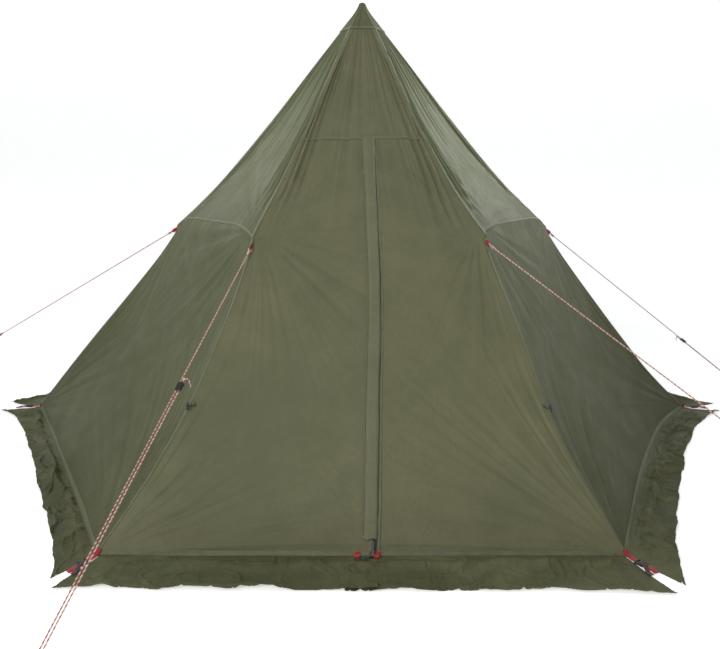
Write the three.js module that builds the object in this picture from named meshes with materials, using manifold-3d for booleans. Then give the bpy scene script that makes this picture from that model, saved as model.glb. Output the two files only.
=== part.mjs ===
// Hexagonal teepee tent with one centre pole, a zipped two-leaf door, sod cloths and six guy lines.
// Millimetres, +Z up. The origin is on the ground under the pole; the door faces -Y.
import * as THREE from 'three';
import { mergeVertices } from 'three/addons/utils/BufferGeometryUtils.js';
import Module from 'manifold-3d';

const wasm = await Module();
wasm.setup();

// ---- driving dimensions -------------------------------------------------------------------
const CORNER_R = 2000;            // centre to a base corner
const PEAK_Z = 2330;              // height where the six faces would meet
const CLOTH_T = 1.5;              // thickness of a cloth slab
const SEAM_GAP = 0.6;             // stand-off of each cloth edge from its seam line
const HEM_V = 3.5;                // lower edge of the walls above the hem line, up the slope
const TOP_CUT = 70;               // cloth cut short of the peak, along the slope
const DOOR_TOP_Z = 1586;          // height of the seam over the door
const ZIP_X = 46;                 // zip line, to the right of the face's centre
const SKIRT_W = 220;              // sod cloth width on the ground
const SKIRT_HALF = 985;           // half length of a sod cloth
const STRAP_TAB = 34;             // how far the corner tab runs up the ridge
const LEAF_END = 46;              // end of each door leaf, along its fold from the corner
const STRAP_REACH = 122;          // end of the ground loop beyond the corner
const CAP_Z = 2182;               // lower edge of the peak cap
const CAP_TOP_Z = 2320;           // flat top of the peak cap
const POLE_R = 14, POLE_WALL = 1.5;
const POLE_JOIN_Z = 1187.4;       // where the two pole sections meet
const TIE_REACH = 100;            // tie-out eye beyond the ridge
const CORD_R = 2.5;               // guy cord radius
const STRAND = 12;                // spacing of the doubled cord
const PEG_R = 3;                  // peg wire radius
const WEB_W = 25;                 // webbing width
const FLAP_X0 = -3, FLAP_X1 = 45; // storm flap: sewn edge and free edge
const FLAP_BOTTOM = 75;           // storm flap's lower end above the hem, up the slope
const FLAP_TOP = 1770;            // upper end of its free length; above this it is sewn down

const SQ3 = Math.sqrt(3);
const APOTHEM = CORNER_R * SQ3 / 2;
const SLOPE = Math.hypot(PEAK_Z, APOTHEM);
const UP = PEAK_Z / SLOPE, IN = APOTHEM / SLOPE;   // slope direction: height and inward parts
const DOOR_TOP_V = DOOR_TOP_Z / UP;

// guy lines: name, ridge azimuth in degrees, tie-out position down the ridge from the peak, tie-out's shift in x,
// stake x, stake y, runner distance from the ridge
const GUYS = [
  ['fl', -120, 0.51, 32, -961, -2308, 880],
  ['fr', -60, 0.505, 0, 2007, -1952, 1400],
  ['r', 0, 0.512, 0, 2536, 267, 1274],
  ['br', 60, 0.51, 0, 1378, 2205, 1000],
  ['bl', 120, 0.51, 0, -1378, 2205, 1000],
  ['l', 180, 0.512, 0, -2992, 220, 1450],
];

// ---- colours ------------------------------------------------------------------------------
const M = (name, r, g, b, rough, metal = 0) => {
  const m = new THREE.MeshStandardMaterial({ color: new THREE.Color(r, g, b), roughness: rough, metalness: metal, side: THREE.DoubleSide });
  m.name = name;
  return m;
};
const canvas = M('canvas', 0.25, 0.26, 0.17, 0.9);
const canvasDark = M('canvas_flap', 0.22, 0.23, 0.15, 0.9);
const webbing = M('webbing', 0.45, 0.05, 0.06, 0.85);
const cord = M('cord', 0.75, 0.68, 0.58, 0.85);
const plastic = M('plastic', 0.03, 0.03, 0.03, 0.5);
const zipMat = M('zip', 0.05, 0.05, 0.045, 0.6);
const steel = M('steel', 0.55, 0.56, 0.57, 0.35, 1);
const rubber = M('rubber', 0.04, 0.04, 0.04, 0.9);

// ---- helpers ------------------------------------------------------------------------------
const group = new THREE.Group();
group.name = 'teepee_tent';
const add = (name, geometry, material) => {
  const mesh = new THREE.Mesh(geometry, material);
  mesh.name = name;
  group.add(mesh);
};

const toSolid = (geometry) => {
  let g = geometry.clone();
  g.deleteAttribute('normal');
  g.deleteAttribute('uv');
  g = mergeVertices(g, 1e-4);
  return new wasm.Manifold(new wasm.Mesh({ numProp: 3, vertProperties: Float32Array.from(g.attributes.position.array), triVerts: Uint32Array.from(g.index.array) }));
};
const toGeometry = (solid) => {
  const mesh = solid.getMesh();
  const g = new THREE.BufferGeometry();
  g.setAttribute('position', new THREE.BufferAttribute(Float32Array.from(mesh.vertProperties), 3));
  g.setIndex(new THREE.BufferAttribute(Uint32Array.from(mesh.triVerts), 1));
  g.computeVertexNormals();
  return g;
};
const union = (...gs) => toGeometry(gs.map(toSolid).reduce((a, b) => a.add(b)));
const cut = (g, ...tools) => toGeometry(tools.map(toSolid).reduce((a, b) => a.subtract(b), toSolid(g)));

// face frame: x along the hem, y up the slope, z out of the cloth; origin in the middle of the hem
const faceFrame = (k) => {
  const m = new THREE.Matrix4().set(
    1, 0, 0, 0,
    0, IN, -UP, -APOTHEM,
    0, UP, IN, 0,
    0, 0, 0, 1);
  return new THREE.Matrix4().makeRotationZ(k * Math.PI / 3).multiply(m);
};
// ground frame of a side: x along the hem, y outwards from the hem (flipped), z up
const groundFrame = (k) => {
  const m = new THREE.Matrix4().set(
    1, 0, 0, 0,
    0, 1, 0, -APOTHEM,
    0, 0, 1, 0,
    0, 0, 0, 1);
  return new THREE.Matrix4().makeRotationZ(k * Math.PI / 3).multiply(m);
};
const basisFrame = (o, x, y, z) => new THREE.Matrix4().makeBasis(x, y, z).setPosition(o);

const slab = (matrix, points, z0, z1) => {
  const shape = new THREE.Shape(points.map(([x, y]) => new THREE.Vector2(x, y)));
  const g = new THREE.ExtrudeGeometry(shape, { depth: z1 - z0, bevelEnabled: false, curveSegments: 8 });
  g.translate(0, 0, z0);
  g.applyMatrix4(matrix);
  return g;
};
// a convex outline moved inwards, edge by edge
const inset = (points, by) => {
  let out = [[-1e4, -1e4], [1e4, -1e4], [1e4, 1e4], [-1e4, 1e4]];
  points.forEach(([x0, y0], i) => {
    const [x1, y1] = points[(i + 1) % points.length];
    const l = Math.hypot(x1 - x0, y1 - y0);
    const nx = (y0 - y1) / l, ny = (x1 - x0) / l;            // inward normal of a counter-clockwise outline
    const c = nx * x0 + ny * y0 + by[i];
    const side = out.map(([x, y]) => nx * x + ny * y - c);
    const next = [];
    out.forEach((p, j) => {
      const q = out[(j + 1) % out.length], a = side[j], b = side[(j + 1) % out.length];
      if (a >= 0) next.push(p);
      if ((a > 0 && b < 0) || (a < 0 && b > 0)) {
        const t = a / (a - b);
        next.push([p[0] + (q[0] - p[0]) * t, p[1] + (q[1] - p[1]) * t]);
      }
    });
    out = next;
  });
  return out;
};
const below = (points, y) => inset([...points], points.map(() => 0)).flatMap((p, j, all) => {
  const q = all[(j + 1) % all.length];
  const out = p[1] <= y ? [p] : [];
  if ((p[1] < y && q[1] > y) || (p[1] > y && q[1] < y)) {
    const t = (y - p[1]) / (q[1] - p[1]);
    out.push([p[0] + (q[0] - p[0]) * t, y]);
  }
  return out;
});

// a path through given points, so that a swept section keeps exactly those points
class Polyline extends THREE.Curve {
  constructor(points) { super(); this.points = points; }
  getPoint(t, target = new THREE.Vector3()) {
    const n = this.points.length - 1, s = Math.min(Math.max(t, 0), 1) * n, i = Math.min(Math.floor(s + 1e-9), n - 1);
    return target.copy(this.points[i]).lerp(this.points[i + 1], s - i);
  }
  getPointAt(u, target) { return this.getPoint(u, target); }
  getTangentAt(u, target = new THREE.Vector3()) {
    const n = this.points.length - 1, i = Math.round(u * n), p = this.points;
    const a = p[Math.max(i - 1, 0)], b = p[Math.min(i, n)], c = p[Math.min(i + 1, n)];
    target.set(0, 0, 0);
    if (i > 0) target.add(b.clone().sub(a).normalize());
    if (i < n) target.add(c.clone().sub(b).normalize());
    return target.normalize();
  }
}
const circle = (r, n) => new THREE.Shape(Array.from({ length: n }, (_, i) => new THREE.Vector2(r * Math.cos(2 * Math.PI * i / n), r * Math.sin(2 * Math.PI * i / n))));
const sweep = (points, r, sides) => new THREE.ExtrudeGeometry(circle(r, sides), { steps: points.length - 1, extrudePath: new Polyline(points), bevelEnabled: false });
const lathe = (points, segments, phi = 0) => new THREE.LatheGeometry(points.map(([r, z]) => new THREE.Vector2(r, z)), segments, phi, 2 * Math.PI).rotateX(Math.PI / 2);
const box = (matrix, x0, x1, y0, y1, z0, z1) => {
  const g = new THREE.BoxGeometry(x1 - x0, y1 - y0, z1 - z0);
  g.translate((x0 + x1) / 2, (y0 + y1) / 2, (z0 + z1) / 2);
  return g.applyMatrix4(matrix);
};
// a cylinder along the local z axis
const rod = (matrix, x, y, z0, z1, r, sides = 16) => {
  const g = new THREE.CylinderGeometry(r, r, z1 - z0, sides);
  g.rotateX(Math.PI / 2);
  g.translate(x, y, (z0 + z1) / 2);
  return g.applyMatrix4(matrix);
};

// ---- centre pole --------------------------------------------------------------------------
add('pole_foot', lathe([[0, 0], [31, 0], [33, 2], [33, 8], [23, 26], [19, 40], [POLE_R + 0.4, 40], [POLE_R + 0.4, 10], [0, 10]], 32), rubber);
const inner = POLE_R - POLE_WALL;
const spigot = inner - 0.4;
add('pole_lower', lathe([[inner, 10.4], [POLE_R, 10.4], [POLE_R, POLE_JOIN_Z], [spigot, POLE_JOIN_Z], [spigot, POLE_JOIN_Z + 75], [spigot - 1.3, POLE_JOIN_Z + 78], [spigot - 1.3, POLE_JOIN_Z - 8], [inner, POLE_JOIN_Z - 14], [inner, 10.4]], 32), steel);
add('pole_upper', lathe([[0, 2250], [inner, 2250], [inner, POLE_JOIN_Z + 0.4], [POLE_R, POLE_JOIN_Z + 0.4], [POLE_R, 2268], [12, 2280], [7, 2288], [0, 2290]], 32), steel);

// ---- peak cap -----------------------------------------------------------------------------
const capR = (z, out) => (APOTHEM * (1 - z / PEAK_Z) + out / UP) / (SQ3 / 2);
add('peak_cap', lathe([[0, 2304], [capR(2304, 2.2), 2304], [capR(CAP_Z, 2.2), CAP_Z], [capR(CAP_Z, 4.0), CAP_Z], [capR(CAP_TOP_Z - 6, 4.0), CAP_TOP_Z - 6], [capR(CAP_TOP_Z, 4.0) - 5, CAP_TOP_Z], [0, CAP_TOP_Z]], 6, Math.PI / 6), canvasDark);

// ---- walls --------------------------------------------------------------------------------
const half = (v) => CORNER_R / 2 * (1 - v / SLOPE);
const topV = SLOPE - TOP_CUT;
const wall = inset([[-half(0), 0], [half(0), 0], [half(topV), topV], [-half(topV), topV]], [HEM_V, SEAM_GAP, 0, SEAM_GAP]);
const SIDES = [['right_front', 1], ['right_back', 2], ['back', 3], ['left_back', 4], ['left_front', 5]];
for (const [name, k] of SIDES) add(`wall_${name}`, slab(faceFrame(k), wall, 0, CLOTH_T), canvas);

// ---- front face: top panel, standing side panels and the two door leaves --------------------
const F = faceFrame(0);
const T = [ZIP_X, DOOR_TOP_V];
const hd = half(DOOR_TOP_V);
add('front_top_panel', slab(F, inset([[-hd, DOOR_TOP_V], [hd, DOOR_TOP_V], [half(topV), topV], [-half(topV), topV]], [0.5, SEAM_GAP, 0, SEAM_GAP]), 0, CLOTH_T), canvas);
const trimLow = (points, v) => below(points.map(([x, y]) => [x, -y]).reverse(), -v).map(([x, y]) => [x, -y]).reverse();
add('front_panel_left', slab(F, trimLow(inset([[-1000, 0], T, [-hd, DOOR_TOP_V]], [SEAM_GAP, 0.5, SEAM_GAP]), 40), 0, CLOTH_T), canvas);
add('front_panel_right', slab(F, trimLow(inset([[1000, 0], [hd, DOOR_TOP_V], T], [SEAM_GAP, 0.5, SEAM_GAP]), 40), 0, CLOTH_T), canvas);
const leftFoldV = (x) => DOOR_TOP_V * (x + 1000) / (ZIP_X + 1000);      // fold lines, from each base corner to the zip top
const rightFoldV = (x) => DOOR_TOP_V * (1000 - x) / (1000 - ZIP_X);
const XL = ZIP_X - 8, XR = ZIP_X + 8;
const leafTop = DOOR_TOP_V - 30;
// each leaf ends square to its fold a little way from the base corner, clear of the webbing there
const leafEnd = (side) => {
  const run = [T[0] - side * 1000, T[1]], length = Math.hypot(...run);
  const [dx, dv] = run.map((c) => c / length);
  const onFold = [side * 1000 + dx * LEAF_END, dv * LEAF_END];
  const t = onFold[1] / Math.abs(dx);
  return [[onFold[0] - side * dv * t, 0], onFold];
};
const [LA, LB] = leafEnd(-1), [RA, RB] = leafEnd(1);
add('door_leaf_left', slab(F, below(inset([LA, [XL, 0], [XL, leftFoldV(XL)], LB], [HEM_V, 0, SEAM_GAP, 0]), leafTop), 0, CLOTH_T), canvas);
add('door_leaf_right', slab(F, below(inset([[XR, 0], RA, RB, [XR, rightFoldV(XR)]], [HEM_V, 0, SEAM_GAP, 0]), leafTop), 0, CLOTH_T), canvas);

// zip: two coils, and a slider that clasps the left one
const coilProfile = (x0, x1) => [[x0, -0.4], [x0 + 0.8, -1], [x1 - 0.8, -1], [x1, -0.4], [x1, 1.6], [x1 - 0.8, 2.2], [x0 + 0.8, 2.2], [x0, 1.6]];
const alongZip = (points, v0, v1) => {
  // section in (x, out of the cloth), swept up the slope
  const g = new THREE.ExtrudeGeometry(new THREE.Shape(points.map(([x, n]) => new THREE.Vector2(x, n))), { depth: v1 - v0, bevelEnabled: false });
  const m = new THREE.Matrix4().set(1, 0, 0, 0, 0, 0, -1, v1, 0, 1, 0, 0, 0, 0, 0, 1);
  return g.applyMatrix4(m).applyMatrix4(F);
};
const coilTop = DOOR_TOP_V - 24;
add('zip_coil_left', alongZip(coilProfile(ZIP_X - 7.6, ZIP_X - 1.6), 10, coilTop), zipMat);
add('zip_coil_right', alongZip(coilProfile(ZIP_X + 1.6, ZIP_X + 7.6), 10, coilTop), zipMat);
const SL0 = 32, SL1 = 58;           // slider's lower and upper end up the slope
const sliderBody = alongZip([[ZIP_X - 10, 2.7], [ZIP_X - 0.8, 2.7], [ZIP_X - 0.8, -1.5], [ZIP_X - 10, -1.5], [ZIP_X - 10, -3.3], [ZIP_X + 0.7, -3.3], [ZIP_X + 0.7, 4.5], [ZIP_X - 10, 4.5]], SL0, SL1);
const bx = ZIP_X - 4.6;             // middle of the slider's bridge
add('zip_slider', union(sliderBody,
  box(F, bx - 1.5, bx + 1.5, SL0 + 3, SL0 + 5.4, 4.2, 7.8),
  box(F, bx - 1.5, bx + 1.5, SL0 + 17, SL0 + 20, 4.2, 7.8),
  box(F, bx - 1.5, bx + 1.5, SL0 + 3, SL0 + 20, 6.6, 7.8)), plastic);
const PULL_V = SL0 + 12;            // crossbar of the pull, under the bridge
const pullOuter = [[bx - 4.2, PULL_V + 0.7], [bx - 4.2, SL0 - 22], [bx - 2.4, SL0 - 24], [bx + 2.4, SL0 - 24], [bx + 4.2, SL0 - 22], [bx + 4.2, PULL_V + 0.7]];
add('zip_pull', cut(slab(F, pullOuter, 4.9, 6.2), box(F, bx - 2.3, bx + 2.3, SL0 - 1.5, PULL_V - 0.7, 4, 7)), plastic);

// storm flap over the left coil; it ends below the fold so that it clears the panel above when turned back
const flapSection = [
  [FLAP_X0 + 0.22, 1.95], [FLAP_X0 + 4, 1.95], [FLAP_X0 + 16, 8.9], [FLAP_X1, 8.9], [FLAP_X1, 10.4], [FLAP_X0 + 15.2, 10.4], [FLAP_X0 + 3.4, 3.45], [FLAP_X0 + 0.22, 3.45], [FLAP_X0 - 0.5, 2.7]];
add('storm_flap', alongZip(flapSection, FLAP_BOTTOM, FLAP_TOP), canvasDark);

// ring on the left leaf's foot and the clip that hangs from it
const ringAt = new THREE.Vector3(-19, -APOTHEM - 15, 4.6);
const ring = new THREE.TorusGeometry(10, 1.9, 8, 24).translate(ringAt.x, ringAt.y, ringAt.z);
add('door_ring', ring, plastic);
const C = basisFrame(new THREE.Vector3(ringAt.x + 12.6, ringAt.y, ringAt.z), new THREE.Vector3(1, 0, 0), new THREE.Vector3(0, 1, 0), new THREE.Vector3(0, 0, 1));
add('door_clip', cut(slab(C, [[0.4, -1.2], [3, -4], [7, -6.5], [26, -6.5], [34, -3], [34, 3], [26, 6.5], [7, 6.5], [3, 4], [0.4, 1.2]], -2.2, 2.2),
  box(C, 16, 30, -3, 3, -4, 4)), plastic);

// toggles that hold a rolled leaf, on the standing panels
const toggleProfile = [[0, -16], [3.6, -16], [5, -14], [5, -3.2], [3.4, -1.8], [3.4, 1.8], [5, 3.2], [5, 14], [3.6, 16], [0, 16]];
for (const [name, x, z] of [['toggle_left', -716, 474], ['toggle_right', 772, 468]]) {
  // the lathe's axis is the frame's z, turned here to lie up the slope
  const m = F.clone().multiply(new THREE.Matrix4().set(1, 0, 0, x, 0, 0, 1, z / UP, 0, -1, 0, CLOTH_T + 1.2 + 5, 0, 0, 0, 1));
  add(name, lathe(toggleProfile, 12).applyMatrix4(m), plastic);
}

// ---- sod cloths ---------------------------------------------------------------------------
const strip = (x0, x1) => [[x0, -2 - SKIRT_W], [x1, -2 - SKIRT_W], [x1, -3], [x0, -3]];
for (const [name, k] of SIDES) add(`skirt_${name}`, slab(groundFrame(k), strip(-SKIRT_HALF, SKIRT_HALF), 0, CLOTH_T), canvas);
add('skirt_front_left', slab(groundFrame(0), strip(-SKIRT_HALF + 14, ZIP_X - 2), 0, CLOTH_T), canvas);
add('skirt_front_right', slab(groundFrame(0), strip(ZIP_X + 2, SKIRT_HALF - 14), 0, CLOTH_T), canvas);

// ---- corners: webbing, buckle and ground loop -----------------------------------------------
const ridgeAt = (v) => [-v * CORNER_R / Math.hypot(CORNER_R, PEAK_Z), v * PEAK_Z / Math.hypot(CORNER_R, PEAK_Z)];
const RN = [PEAK_Z / Math.hypot(CORNER_R, PEAK_Z), CORNER_R / Math.hypot(CORNER_R, PEAK_Z)]; // out of the ridge
const off = (v, d) => { const [r, z] = ridgeAt(v); return [r + RN[0] * d, z + RN[1] * d]; };
for (const [name, az] of GUYS) {
  const a = az * Math.PI / 180;
  const radial = new THREE.Vector3(Math.cos(a), Math.sin(a), 0);
  const side = new THREE.Vector3(0, 0, 1);
  const across = radial.clone().cross(side);
  const W = basisFrame(radial.clone().multiplyScalar(CORNER_R), radial, side, across);
  const strap = slab(W, [off(STRAP_TAB, 2.2), off(6, 2.2), [14, 2], [22, 0], [STRAP_REACH, 0], [STRAP_REACH, 2], [24, 2], [16, 4], off(9, 4.2), off(STRAP_TAB, 4.2)], -WEB_W / 2, WEB_W / 2);
  const buckle = slab(W, [[42, 0], [80, 0], [83, 2.5], [80, 8.5], [46, 8.5], [40, 3]], -17, 17);
  const hole = new THREE.CylinderGeometry(6, 6, 12, 16).applyMatrix4(W.clone().multiply(new THREE.Matrix4().makeTranslation(STRAP_REACH - 16, 1, 0)));
  add(`corner_strap_${name}`, cut(union(strap, buckle), hole), webbing);
}

// ---- tie-outs, guy lines, runners and pegs --------------------------------------------------
for (const [name, az, t, shift, sx, sy, runAt] of GUYS) {
  const a = az * Math.PI / 180;
  const P = new THREE.Vector3(CORNER_R * t * Math.cos(a) + shift, CORNER_R * t * Math.sin(a), PEAK_Z * (1 - t));
  const stake = new THREE.Vector3(sx, sy, 16);
  const g = stake.clone().sub(P).normalize();
  const eye = P.clone().addScaledVector(g, TIE_REACH);
  const ridge = new THREE.Vector3(-CORNER_R * Math.cos(a), -CORNER_R * Math.sin(a), PEAK_Z).normalize();
  // tab: a flat web between the ridge and the eye
  const nTab = g.clone().cross(ridge).normalize();
  const vTab = nTab.clone().cross(g).normalize();
  const TB = basisFrame(P, g, vTab, nTab);
  const toTab = TB.clone().invert();
  const onRidge = (s, d) => {
    const out = new THREE.Vector3(Math.cos(a) * RN[0], Math.sin(a) * RN[0], RN[1]);
    const q = P.clone().addScaledVector(ridge, s).addScaledVector(out, d).applyMatrix4(toTab);
    return [q.x, q.y];
  };
  const tab = slab(TB, [onRidge(-52, 6), [TIE_REACH - 6, -9], [TIE_REACH + 5, -8], [TIE_REACH + 8.5, -4], [TIE_REACH + 8.5, 4], [TIE_REACH + 5, 8], [TIE_REACH - 6, 9], onRidge(52, 6)], -1.5, 1.5);
  add(`tieout_${name}`, cut(tab, rod(TB, TIE_REACH, 0, -4, 4, 4.2, 16)), webbing);

  // cord: a ring through the eye, one strand down to the peg, round it and back up to the runner
  const h = new THREE.Vector3(0, 0, 1).cross(g).normalize();
  const w = g.clone().cross(h).normalize();                  // square to the cord
  if (w.z < 0) w.negate();
  const RC = eye.clone().addScaledVector(g, 8);              // middle of the end ring
  const L = stake.clone().sub(RC).length();
  const at = (s, across) => RC.clone().addScaledVector(g, s).addScaledVector(h, across);
  const u = STRAND / 2;
  const loop = [];
  for (let i = 0; i <= 10; i += 1) {
    const t = Math.PI * i / 10;
    loop.push(at(L + u * Math.sin(t), u - u * Math.cos(t)));
  }
  const runS = runAt - TIE_REACH - 8;
  const strand = sweep([at(7.2, 0), ...loop, at(runS - 32, STRAND)], CORD_R, 8);
  const eyeRing = new THREE.TorusGeometry(8, CORD_R, 8, 16).applyMatrix4(basisFrame(RC, g, nTab, g.clone().cross(nTab)));
  const knot = new THREE.SphereGeometry(5, 10, 8).translate(...at(runS - 32, STRAND).toArray());
  add(`guy_${name}`, union(strand, eyeRing, knot), cord);

  // runner: a block with a channel for each strand
  const RB = basisFrame(at(runS, u), h, g.clone().cross(h), g);
  const body = slab(RB, [[-9, -5.5], [9, -5.5], [12.5, -2.5], [12.5, 2.5], [9, 5.5], [-9, 5.5], [-12.5, 2.5], [-12.5, -2.5]], -19, 19);
  add(`runner_${name}`, cut(body, rod(RB, -u, 0, -24, 24, CORD_R + 0.6, 16), rod(RB, u, 0, -24, 24, CORD_R + 0.6, 16)), plastic);

  // peg: a wire driven square to the cord, hooked over the loop
  const Q = at(L, u);
  const pegPoint = (s, x) => Q.clone().addScaledVector(w, s).addScaledVector(g, x);
  const hook = [pegPoint(-180, 0), pegPoint(-20, 0), pegPoint(16, 0)];
  for (let i = 1; i <= 6; i += 1) {
    const t = Math.PI * i / 6;
    hook.push(pegPoint(16 + 9 * Math.sin(t), 9 - 9 * Math.cos(t)));
  }
  hook.push(pegPoint(8, 18));
  add(`peg_${name}`, sweep(hook, PEG_R, 8), steel);
}

export default group;
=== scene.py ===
import math

import bmesh
import bpy
import numpy as np
from mathutils import Matrix, Vector


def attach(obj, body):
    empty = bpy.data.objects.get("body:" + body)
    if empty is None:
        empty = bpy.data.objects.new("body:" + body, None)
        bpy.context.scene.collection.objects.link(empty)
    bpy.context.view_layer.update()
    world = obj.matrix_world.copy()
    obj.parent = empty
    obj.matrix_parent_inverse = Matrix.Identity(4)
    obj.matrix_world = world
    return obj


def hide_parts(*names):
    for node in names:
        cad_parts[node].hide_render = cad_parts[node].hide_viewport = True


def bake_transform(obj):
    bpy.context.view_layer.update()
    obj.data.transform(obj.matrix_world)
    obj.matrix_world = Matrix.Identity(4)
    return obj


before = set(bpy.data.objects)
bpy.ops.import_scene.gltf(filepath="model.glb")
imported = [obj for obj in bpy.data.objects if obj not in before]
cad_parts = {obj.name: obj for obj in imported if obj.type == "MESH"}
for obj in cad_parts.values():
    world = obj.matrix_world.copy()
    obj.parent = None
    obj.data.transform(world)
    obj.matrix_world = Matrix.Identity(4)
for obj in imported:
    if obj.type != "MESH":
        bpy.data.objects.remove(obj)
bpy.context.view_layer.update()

# ------------------------------------------------------------------ dimensions (metres)
R, H = 2.0, 2.33
AP = R * math.sqrt(3) / 2
SL = math.hypot(H, AP)
UP, IN = H / SL, AP / SL
RIDGE = math.hypot(R, H)
ZX = 0.046                                # zip line
DV = 1.586 / UP                           # seam over the door, up the slope
AZ = [math.radians(-120 + 60 * i) for i in range(6)]       # corners fl fr r br bl l
NAMES = ["fl", "fr", "r", "br", "bl", "l"]
GUY = {
    "fl": (0.51, 0.032, (-0.961, -2.308), 0.880),
    "fr": (0.505, 0.0, (2.007, -1.952), 1.400),
    "r": (0.512, 0.0, (2.536, 0.267), 1.274),
    "br": (0.51, 0.0, (1.378, 2.205), 1.0),
    "bl": (0.51, 0.0, (-1.378, 2.205), 1.0),
    "l": (0.512, 0.0, (-2.992, 0.220), 1.450),
}
REACH = 0.100
V3 = lambda *a: np.array(a, float)
APEX = V3(0, 0, H)


def unit(v):
    v = np.asarray(v, float)
    return v / np.linalg.norm(v)


def rotz(k):
    c, s = math.cos(k * math.pi / 3), math.sin(k * math.pi / 3)
    return np.array([[c, -s, 0], [s, c, 0], [0, 0, 1.0]])


EX = [rotz(k) @ V3(1, 0, 0) for k in range(6)]             # along the hem
NH = [rotz(k) @ V3(0, -1, 0) for k in range(6)]            # level, outwards
NF = [rotz(k) @ V3(0, -UP, IN) for k in range(6)]          # out of the cloth
EV = [rotz(k) @ V3(0, IN, UP) for k in range(6)]           # up the slope
MID = [NH[k] * AP for k in range(6)]


def tie(i):
    t, sh, stake, run = GUY[NAMES[i]]
    P = V3(R * t * math.cos(AZ[i]) + sh, R * t * math.sin(AZ[i]), H * (1 - t))
    g = unit(V3(stake[0], stake[1], 0.016) - P)
    return P, g


# ------------------------------------------------------------------ noise
def smooth(x):
    x = np.clip(x, 0, 1)
    return x * x * (3 - 2 * x)


def noise1(x, seed):
    rng = np.random.RandomState(seed)
    tab = rng.uniform(-1, 1, 512)
    x = np.asarray(x, float) + 200.0
    i = np.floor(x).astype(int)
    f = smooth(x - i)
    return tab[i % 512] * (1 - f) + tab[(i + 1) % 512] * f


def noise2(x, y, seed):
    rng = np.random.RandomState(seed)
    tab = rng.uniform(-1, 1, (128, 128))
    x = np.asarray(x, float) + 64.0
    y = np.asarray(y, float) + 64.0
    x, y = np.broadcast_arrays(x, y)
    i, j = np.floor(x).astype(int), np.floor(y).astype(int)
    fx, fy = smooth(x - i), smooth(y - j)
    a = tab[i % 128, j % 128] * (1 - fx) + tab[(i + 1) % 128, j % 128] * fx
    b = tab[i % 128, (j + 1) % 128] * (1 - fx) + tab[(i + 1) % 128, (j + 1) % 128] * fx
    return a * (1 - fy) + b * fy


def ridged(n):
    return 1 - 2 * np.abs(n)


def spline(t, xs, ys):
    """Cubic Hermite through the given points."""
    xs, ys = np.asarray(xs, float), np.asarray(ys, float)
    m = np.gradient(ys, xs)
    t = np.clip(t, xs[0], xs[-1])
    i = np.clip(np.searchsorted(xs, t, side="right") - 1, 0, len(xs) - 2)
    h = xs[i + 1] - xs[i]
    s = (t - xs[i]) / h
    return ((2 * s**3 - 3 * s**2 + 1) * ys[i] + (s**3 - 2 * s**2 + s) * h * m[i]
            + (-2 * s**3 + 3 * s**2) * ys[i + 1] + (s**3 - s**2) * h * m[i + 1])


# ------------------------------------------------------------------ the cloth surface
# how each ridge leaves the straight line: (out of the ridge, along x), in metres, against the share of the way down
TS = [0, 0.12, 0.27, 0.42, 0.51, 0.60, 0.70, 0.80, 0.88, 0.95, 1.0]
RIDGE_OUT = {
    0: [0, -.006, -.014, -.002, .020, .004, -.008, -.012, -.012, -.006, 0],
    1: [0, -.006, -.014, -.002, .020, .006, -.006, -.012, -.012, -.006, 0],
    2: [0, -.006, -.016, -.008, .012, -.006, -.020, -.030, -.034, -.020, 0],
    3: [0, -.008, -.018, -.006, .016, .000, -.014, -.020, -.018, -.008, 0],
    4: [0, -.008, -.018, -.006, .016, .000, -.014, -.020, -.018, -.008, 0],
    5: [0, -.006, -.014, -.004, .014, .004, .004, .008, .008, .004, 0],
}
RIDGE_X = {
    0: [0, .002, .008, .026, .040, .064, .075, .080, .062, .030, 0],
    1: [0, .004, .002, .008, .010, .008, -.006, -.030, -.026, -.010, 0],
}
# hem: (inwards, upwards) in the middle, and where along the side it is deepest
HEM = {0: (.006, .0006, .5), 1: (.078, .020, .66), 2: (.040, .016, .5), 3: (.038, .016, .5), 4: (.040, .016, .5), 5: (.006, .008, .5)}


def ridge_low(c, t):
    t = np.asarray(t, float)
    o = V3(math.cos(AZ[c]) * H / RIDGE, math.sin(AZ[c]) * H / RIDGE, R / RIDGE)
    d = spline(t, TS, RIDGE_OUT[c])[..., None] * o
    if c in RIDGE_X:
        d = d + spline(t, TS, RIDGE_X[c])[..., None] * V3(1, 0, 0)
    return d


def nose(c, t, q):
    """The pull of a tie-out: q is the distance from the ridge, across the cloth."""
    s = (t - GUY[NAMES[c]][0]) * RIDGE
    along = np.where(s < 0, np.exp(s / 0.085), np.exp(-s / 0.046))
    near = np.exp(-q / (0.016 + 0.060 * np.exp(-np.abs(s) / 0.07)))
    return 0.066 * along * near


def polar(x, v, x0, v0):
    dx, dv = x - x0, v - v0
    return np.hypot(dx, dv), np.arctan2(dx, dv)


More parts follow.
